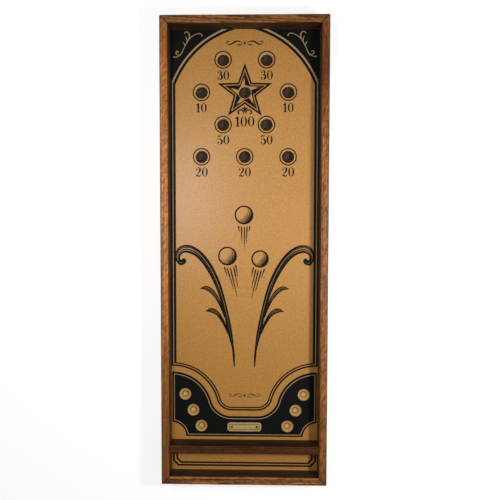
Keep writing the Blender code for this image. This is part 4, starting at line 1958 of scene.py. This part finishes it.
    def write(self, layer: PrintLayer, text: str, middle: Point, height: float) -> None:
        """Writes a number.

        Args:
            layer: The layer that it is written on.
            text: Its digits.
            middle: Its middle.
            height: The digits' height.
        """
        digits = [DIGITS[letter] for letter in text]
        length = sum(digit.width for digit in digits) + self.digit_gap * (len(text) - 1)
        x, y = middle[0] - height * length / 2, middle[1] - height / 2
        for digit in digits:
            for points in digit.strokes:
                layer.draw(points, 5, digit.closed, (x, y), height, self.boldness)
            for across, up, radius in digit.dots:
                layer.fill(circle((x + height * across, y + height * up), height * radius, 24))
            x += height * (digit.width + self.digit_gap)

    def draw_balls(self) -> None:
        """Draws the three engraved balls with the lines of their path behind them."""
        upper = (
            (-15, 68, -13, 53), (-8, 67, -6.5, 25), (-1, 66, 0, 12),
            (6, 67, 4, 25), (12.5, 68, 11.5, 55),
        )
        left = (
            (-50, -33, -42, -57), (-43, -35, -27, -87), (-35, -35, -18, -107),
            (-27, -32, -16, -85), (-22, -27, -17, -57),
        )
        right = (
            (22, -33, 17, -57), (28, -38, 17, -85), (34, -40, 17, -112),
            (41, -40, 27, -93), (49, -37, 41, -60),
        )
        balls = ((-1.6, 94.5, 21.2, upper), (-42.0, -6.2, 21.3, left), (37.9, -13.0, 19.6, right))
        layer = self.layer("print_balls")
        for x, y, radius, lines in balls:
            layer.line(circle((x, y), radius, 72), self.ball_line, closed=True)
            for depth in np.linspace(0.0, 1.0, self.ball_arcs):
                span = 122.0 - 52.0 * depth
                ends = self.ball_shade - span, self.ball_shade + span
                path = arc((x, y), radius * (0.92 - 0.78 * depth), *ends, 14)
                swell = np.sin(np.linspace(0.0, math.pi, len(path))) * (0.72 - 0.52 * depth)
                layer.draw(np.column_stack((path, swell)), per_span=3)
            for x0, y0, x1, y1 in lines:
                bulge = (x0 + 0.2 * (x1 - x0), y0 + 0.2 * (y1 - y0), 1.6)
                layer.draw(((x0, y0, 0.9), bulge, (x1, y1, 0.55)), per_span=6)
        layer.build(self.pen, self.ink)

    def draw_fronds(self) -> None:
        """Draws the pair of curled fronds, engraved with lines along them."""
        stem = (
            (-149, -11.2, -150.5, -11.8), (-144.2, -17, -152.6, -14.3), (-146.4, -23.9, -154.6, -16.3),
            (-153.6, -28.1, -156.8, -16.4), (-162.5, -26.6, -158.8, -14.5), (-171.3, -8, -158.6, -6.5),
            (-163, 13.8, -151.5, 0.6), (-143, 21.2, -139.5, 1.6), (-121, 14.8, -122, -5.6),
            (-99.5, -2.6, -105, -22), (-79.5, -30.5, -88.5, -46.5), (-62, -67, -73, -77.5),
            (-50.5, -103, -60.8, -110), (-40.2, -146, -50, -148), (-31.2, -191, -42.6, -189),
            (-26, -233, -31.3, -232), (-23.9, -255, -28.7, -254), (-24.1, -281, -25.9, -281),
        )
        upper_leaf = (
            (-48.6, -155, -49.5, -159), (-55.4, -129, -57.5, -138.5), (-65, -106.5, -68.5, -117),
            (-79, -87.5, -82, -99.5), (-95, -80.4, -95.5, -90.2), (-110, -86.2, -109.6, -86.8),
        )
        lower_leaf = (
            (-41.8, -193, -41.6, -199), (-47.2, -174.5, -47.8, -185), (-54, -158.8, -55.5, -170.8),
            (-66, -142, -68, -154), (-82, -134.8, -82.5, -145.7), (-96.6, -142.4, -96, -143),
        )
        stem_lines = ((0.08, 0.08), (0.22, 0.045), (0.34, 0.05), (0.57, 0.075), (0.86, 0.14))
        leaf_lines = ((0.13, 0.12), (0.42, 0.05), (0.57, 0.05), (0.84, 0.12))
        layer = self.layer("print_fronds")
        self.engrave(layer, stem, stem_lines, 1.0)
        for leaf in (upper_leaf, lower_leaf):
            self.engrave(layer, leaf, leaf_lines)
        layer.build(self.pen, self.ink)

    def engrave(
        self,
        layer: PrintLayer,
        ribs: Sequence[tuple[float, ...]],
        lines: Sequence[Point],
        curl: float = 0.0,
    ) -> None:
        """Draws a band, and its reflection, as lines that run along it.

        Args:
            layer: The layer that it is drawn on.
            ribs: The two ends of each line across the band.
            lines: Each line's place across the band and half its width, as shares of the band's width.
            curl: How much bolder the lines are at the first rib.
        """
        across = np.array(ribs, float)
        one, other = across[:, :2], across[:, 2:]
        width = np.linalg.norm(other - one, axis=1)
        along = np.linspace(0.0, 1.0, len(across))
        swell = 1.0 + 1.4 * (along - 0.3) ** 2 + curl * np.clip(1.0 - along / 0.32, 0.0, 1.0)
        for place, half in lines:
            points = one + place * (other - one)
            layer.both(np.column_stack((points, np.maximum(half * swell * width, 0.15))))

    def draw_flourishes(self) -> None:
        """Draws a plain penman's flourish below the far rail and another above the sweep."""
        curl = (
            (-4.5, 0.0, 0.25), (-14, 4.2, 0.75), (-24, 2.8, 1.15), (-33, -2.6, 0.9),
            (-41, -2.2, 0.6), (-44, 2.2, 0.5), (-40.5, 4.6, 0.55), (-37.5, 2.6, 0.8),
        )
        leaf = ((-5.5, -1.4, 0.2), (-12, -4.6, 0.9), (-20, -3.4, 0.2))
        diamond = np.array(((0.0, 4.4), (-2.6, 0.0), (0.0, -4.4), (2.6, 0.0)))
        layer = self.layer("print_flourishes")
        for y, scale, bold in ((508.0, 1.0, 1.6), (-352.5, 0.86, 1.0)):
            for points in (curl, leaf):
                layer.both(points, place=(0.0, y), scale=scale, bold=bold)
            layer.fill(diamond * scale + (0.0, y))
        layer.build(self.pen, self.ink)

    def build(self) -> None:
        """Draws the whole print, from the lowest layer up."""
        self.draw_border()
        self.draw_scrolls()
        self.draw_sweep()
        self.draw_panel()
        self.draw_bay()
        self.draw_rings()
        self.draw_star()
        self.draw_sprout()
        self.draw_numbers()
        self.draw_balls()
        self.draw_fronds()
        self.draw_flourishes()


@dataclass
class BrassPlate:
    """The small blank plate with an engraved border, and its two pins."""

    corner_radius: float = 0.007
    corner_steps: int = 12
    border_inset: float = 0.0042
    border_width: float = 0.0013
    border_depth: float = 0.00018
    border_slope: float = 0.0001
    edge_ease: float = 0.0003
    settle: float = 0.00015
    sides: int = 32
    pin_hole: float = 0.0011
    pin_head: float = 0.0027
    pin_dome: float = 0.0011
    pin_rim: Point = (0.00006, 0.0001)
    pin_shank: float = 0.001
    pin_point: Point = (0.0004, 0.0012)

    def __post_init__(self) -> None:
        """Reads from the frame where the plate lies and where its pins stand."""
        self.low, self.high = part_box("brass_plate")
        self.top = self.high.z - self.settle
        self.pins = [middle_of(f"plate_pin_{side}") for side in ("left", "right")]

    def outline(self, inset: float) -> np.ndarray:
        """Draws the plate's outline.

        Args:
            inset: How far it is drawn in.

        Returns:
            The closed line.
        """
        r = self.corner_radius
        left, right = self.low.x + r, self.high.x - r
        near, far = self.low.y + r, self.high.y - r
        corners = ((right, far, 0), (left, far, 90), (left, near, 180), (right, near, 270))
        rounds = [arc((x, y), r - inset, a, a + 90, self.corner_steps) for x, y, a in corners]
        return np.concatenate(rounds)

    def build_plate(self) -> None:
        """Builds and dresses the plate."""
        low, top, ease = self.low.z - self.settle, self.top, self.edge_ease
        edge = ((0.0, low), (0.0, top - ease), (0.3 * ease, top - 0.3 * ease), (ease, top), (2 * ease, top))
        start, slope, groove = self.border_inset, self.border_slope, top - self.border_depth
        end = start + self.border_width
        border = ((start, top), (start + slope, groove), (end, groove), (end + slope, top))
        make = Builder()
        loops = [make.loop(self.outline(inset), z) for inset, z in (*edge, *border)]
        make.walls(loops[: len(edge) + 1])
        make.walls(loops[len(edge) :], 1)
        holes = []
        for pin in self.pins:
            holes.append(make.turned(pin.xy, [(self.pin_hole, z) for z in (top, low)], self.sides))
            make.walls(holes[-1])
        make.cap([loops[-1], *(upper for upper, _ in holes)])
        make.cap([loops[0], *(lower for _, lower in holes)])
        brass = Metal("brass", (0.7, 0.5, 0.2), (0.54, 0.36, 0.13), metallic=0.25)
        worn = Metal("engraved_line", (0.17, 0.1, 0.033), (0.1, 0.058, 0.018), metallic=0.25)
        finishes = (brass.material(), worn.material())
        add_piece("plate", as_mesh("plate", make.shape), finishes, ("brass_plate",))

    def build_pins(self) -> None:
        """Builds and dresses the pins, each with a domed head."""
        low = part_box("plate_pin_left")[0].z - self.top
        under, lift = self.pin_rim
        tip, taper = self.pin_point
        stem = ((tip, low), (self.pin_shank, low + taper), (self.pin_shank, under), (self.pin_head, under))
        angles = np.radians((10, 30, 50, 70, 84))
        dome = [(self.pin_head * math.cos(a), self.pin_dome * math.sin(a) + lift) for a in angles]
        make = Builder()
        make.close(make.turned((0.0, 0.0), (*stem, *dome), self.sides))
        tones = ((0.045, 0.017, 0.005), (0.026, 0.01, 0.003))
        bronze = Metal("dark_bronze", *tones, roughness=0.8, metallic=0.25).material()
        places = [(pin.x, pin.y, self.top) for pin in self.pins]
        mesh = RepeatTool().set_out(as_mesh("pin", make.shape), places, bronze)
        add_piece("plate_pins", mesh, (), ("plate_pin_left", "plate_pin_right"))

    def build(self) -> None:
        """Builds and dresses the plate and its pins."""
        self.build_plate()
        self.build_pins()


@dataclass
class Underside:
    """What closes the board from below: felt, panel, screws and pads, and the sticks inside."""

    head_radius: float = 0.0034
    head_rim: float = 0.0002
    head_depth: float = 0.002
    shank_radius: float = 0.0016
    point: Point = (0.0003, 0.003)
    recess: Point = (0.0022, 0.0005)
    recess_depth: float = 0.0012
    recess_taper: float = 0.6
    screw_sides: int = 32
    felt_cell: float = 0.006
    felt_nap: float = 0.00012
    felt_seed: int = 7
    pad_groove: tuple[Point, ...] = ((0.1, 0.0), (0.45, 0.0), (0.47, 0.0005), (0.56, 0.0005), (0.58, 0.0))
    pad_ease: float = 0.0009
    pad_draft: float = 0.0004
    pad_sides: int = 56

    def screw(self, length: float) -> Mesh:
        """Builds a countersunk screw, its head's cross recess looking down.

        Args:
            length: Its length from the head's face to its tip.

        Returns:
            Its mesh, with the face at its origin.
        """
        make = Builder()
        reach, half = self.recess
        arm = np.array(((reach, -half), (reach, half), (half, half)))
        turns = ((1, 0), (0, 1), (-1, 0), (0, -1))
        cross = np.concatenate([arm @ ((c, s), (-s, c)) for c, s in turns])
        mouth = make.loop(cross, 0.0)
        floor = make.loop(cross * self.recess_taper, self.recess_depth)
        make.walls((mouth, floor))
        make.cap([floor])
        tip, taper = self.point
        head = ((self.head_radius, 0.0), (self.head_radius, self.head_rim))
        shank = ((self.shank_radius, self.head_depth), (self.shank_radius, length - taper), (tip, length))
        loops = make.turned((0.0, 0.0), (*head, *shank), self.screw_sides)
        make.walls(loops)
        make.cap([loops[0], mouth])
        make.cap(loops[-1:])
        return as_mesh("screw", make.shape)

    def build_screws(self) -> None:
        """Sets the screws of the panel and of the cross bar."""
        tones = ((0.62, 0.61, 0.58), (0.42, 0.4, 0.36))
        steel = Metal("zinc_steel", *tones, (300.0, 300.0, 300.0)).material()
        for name, stem in (("panel_screws", "backing_screw_"), ("bar_screws", "bar_screw_")):
            nodes = nodes_named(stem)
            lo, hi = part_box(nodes[0])
            mesh = RepeatTool().set_out(self.screw(hi.z - lo.z), feet_of(nodes), steel)
            add_piece(name, mesh, (), nodes)

    def build_pads(self) -> None:
        """Sets the rubber pads under the corners."""
        nodes = nodes_named("pad_")
        lo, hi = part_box(nodes[0])
        radius, height = (hi.x - lo.x) / 2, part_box("rail_left")[0].z
        groove = [(share * radius, z) for share, z in self.pad_groove]
        profile = [*groove, *eased(radius, 0.0, self.pad_ease), (radius - self.pad_draft, height)]
        make = Builder()
        make.close(make.turned((0.0, 0.0), profile, self.pad_sides))
        tones = ((0.018, 0.018, 0.018), (0.036, 0.035, 0.034))
        rubber = Mottled("rubber", *tones, 700.0, 0.72, 0.3, relief=0.3).material()
        mesh = RepeatTool().set_out(as_mesh("pad", make.shape), feet_of(nodes), rubber)
        add_piece("corner_pads", mesh, (), nodes)

    def build_felt(self) -> None:
        """Lays the felt that shows at the bottom of the pockets."""
        lo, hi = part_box("pocket_felt")
        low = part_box("backing_panel")[1].z
        columns = round((hi.x - lo.x) / self.felt_cell)
        rows = round((hi.y - lo.y) / self.felt_cell)
        xs, ys = np.linspace(lo.x, hi.x, columns + 1), np.linspace(lo.y, hi.y, rows + 1)
        random = np.random.default_rng(self.felt_seed)
        nap = hi.z - self.felt_nap * random.random((rows + 1, columns + 1))
        make = Builder()
        corner = make.shape.verts.new
        sheet = [[corner((x, y, z)) for x, z in zip(xs, line)] for y, line in zip(ys, nap)]
        for near, far in zip(sheet, sheet[1:]):
            for cell in zip(near, near[1:], far[1:], far):
                make.shape.faces.new(cell)
        right = [row[-1] for row in sheet[1:]]
        left = [row[0] for row in sheet[-2:0:-1]]
        rim = [*sheet[0], *right, *sheet[-1][-2::-1], *left]
        under = [corner((v.co.x, v.co.y, low)) for v in rim]
        make.walls((rim, under))
        make.shape.faces.new(under[::-1])
        tones = ((0.047, 0.029, 0.018), (0.094, 0.062, 0.041))
        felt = Mottled("brown_felt", *tones, 900.0, 0.9, 0.05, sheen=0.1, relief=0.6, depth=0.0003)
        mesh = as_mesh("felt_lining", make.shape)
        piece = add_piece("felt_lining", mesh, (felt.material(),), ("pocket_felt",))

    def dress_nodes(self) -> None:
        """Gives the CAD pieces that stay their wood or hardboard."""
        tones = ((0.62, 0.43, 0.24), (0.52, 0.33, 0.165), (0.36, 0.2, 0.085))
        plain = {"pith": (0.04, 0.03), "blotch": 0.12, "roughness": 0.6, "gloss": 0.2}
        pine = {
            grain: Wood(f"plain_pine_{grain.name.lower()}", grain, *tones, **plain).material()
            for grain in Grain
        }
        panel = Hardboard("pressed_hardboard").material()
        for name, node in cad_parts.items():
            if node.hide_render:
                continue
            lo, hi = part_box(name)
            grain = Grain.ALONG_X if hi.x - lo.x > hi.y - lo.y else Grain.ALONG_Y
            node.data.materials.clear()
            node.data.materials.append(panel if name == "backing_panel" else pine[grain])
            log.info("%s: dressed", name)

    def build(self) -> None:
        """Builds and dresses it all."""
        self.build_felt()
        self.build_screws()
        self.build_pads()
        self.dress_nodes()


@dataclass
class Lamp:
    """A soft lamp: where it hangs, what it looks at, its sides and its power."""

    name: str
    place: Triple
    target: Triple
    sides: Point
    power: float

    def build(self) -> None:
        """Hangs the lamp."""
        data = bpy.data.lights.new(self.name, "AREA")
        data.shape = "RECTANGLE"
        data.size, data.size_y = self.sides
        data.energy = self.power
        lamp = bpy.data.objects.new(self.name, data)
        lamp.location = self.place
        aim = Vector(self.target) - Vector(self.place)
        lamp.rotation_euler = aim.to_track_quat("-Z", "Y").to_euler()
        lamp.visible_camera = False
        bpy.context.scene.collection.objects.link(lamp)


@dataclass
class Studio:
    """The white floor, the lamps and the camera above the board."""

    floor_half: float = 4.0
    world_light: float = 0.2
    ceiling_light: float = 0.03
    ceiling_rise: Point = (0.1, 0.7)
    camera_place: Triple = (0.03626, 0.05867, 1.2203)
    camera_forward: Triple = (-0.019298, -0.041714, -0.998943)
    camera_up: Triple = (-0.002739, 0.999128, -0.041669)
    lens: float = 35.065
    sensor_width: float = 36.0
    clip: Point = (0.01, 50.0)
    lamps: tuple[Lamp, ...] = (
        Lamp("right_lamp", (0.67, -0.06, 0.88), (0.0, -0.03, 0.03), (0.14, 0.14), 6.7),
        Lamp("left_lamp", (-0.36, 0.215, 1.13), (-0.36, 0.215, 0.0), (0.36, 0.46), 5.0),
    )

    def build(self) -> None:
        """Sets the stage."""
        self.lay_floor()
        self.light_world()
        for lamp in self.lamps:
            lamp.build()
        self.hang_camera()
        bpy.context.scene.view_settings.view_transform = "Standard"

    def lay_floor(self) -> None:
        """Lays the floor under the pads."""
        half = self.floor_half
        corners = [(-half, -half, 0), (half, -half, 0), (half, half, 0), (-half, half, 0)]
        mesh = bpy.data.meshes.new("floor")
        mesh.from_pydata(corners, [], [(0, 1, 2, 3)])
        mesh.materials.append(StudioWhite("studio_white").material())
        floor = bpy.data.objects.new("floor", mesh)
        bpy.context.scene.collection.objects.link(floor)

    def light_world(self) -> None:
        """Lights the world softly, and shows it white, dimmer to the ceiling where it is mirrored."""
        world = bpy.data.worlds.new("studio")
        bpy.context.scene.world = world
        world.use_nodes = True
        nodes = Nodes(world.node_tree)
        white = (1, 1, 1, 1)
        soft = nodes.out("ShaderNodeBackground", {"Color": white, "Strength": self.world_light})
        way = nodes.out("ShaderNodeTexCoord", key="Generated")
        rise = nodes.out("ShaderNodeSeparateXYZ", {0: way}, "Z")
        start, end = self.ceiling_rise
        inputs = {0: rise, 1: start, 2: end, 3: 1.0, 4: self.ceiling_light}
        ceiling = nodes.out("ShaderNodeMapRange", inputs)
        camera = nodes.out("ShaderNodeLightPath", key="Is Camera Ray")
        level = nodes.out("ShaderNodeMath", {0: ceiling, 1: camera}, operation="MAXIMUM")
        shown = nodes.out("ShaderNodeBackground", {"Color": white, "Strength": level})
        mix = nodes.out("ShaderNodeMixShader", {0: seen_rays(nodes), 1: soft, 2: shown})
        nodes.add("ShaderNodeOutputWorld", {"Surface": mix})

    def hang_camera(self) -> None:
        """Hangs the camera where the photograph was taken from."""
        data = bpy.data.cameras.new("camera")
        data.lens = self.lens
        data.sensor_width = self.sensor_width
        data.clip_start, data.clip_end = self.clip
        camera = bpy.data.objects.new("camera", data)
        bpy.context.scene.collection.objects.link(camera)
        back = -Vector(self.camera_forward).normalized()
        side = Vector(self.camera_up).cross(back).normalized()
        axes = Matrix((side, back.cross(side), back)).transposed()
        camera.matrix_world = Matrix.Translation(self.camera_place) @ axes.to_4x4()
        bpy.context.scene.camera = camera


def main() -> None:
    """Builds the board piece by piece, and then the studio round it."""
    logging.basicConfig(level=logging.INFO, format="%(name)s: %(message)s")
    Rails().build()
    board = FieldBoard()
    board.build()
    CrossBar().build(board.top)
    FieldPrint(board).build()
    BrassPlate().build()
    Underside().build()
    Studio().build()


if __name__ == "__main__":
    main()
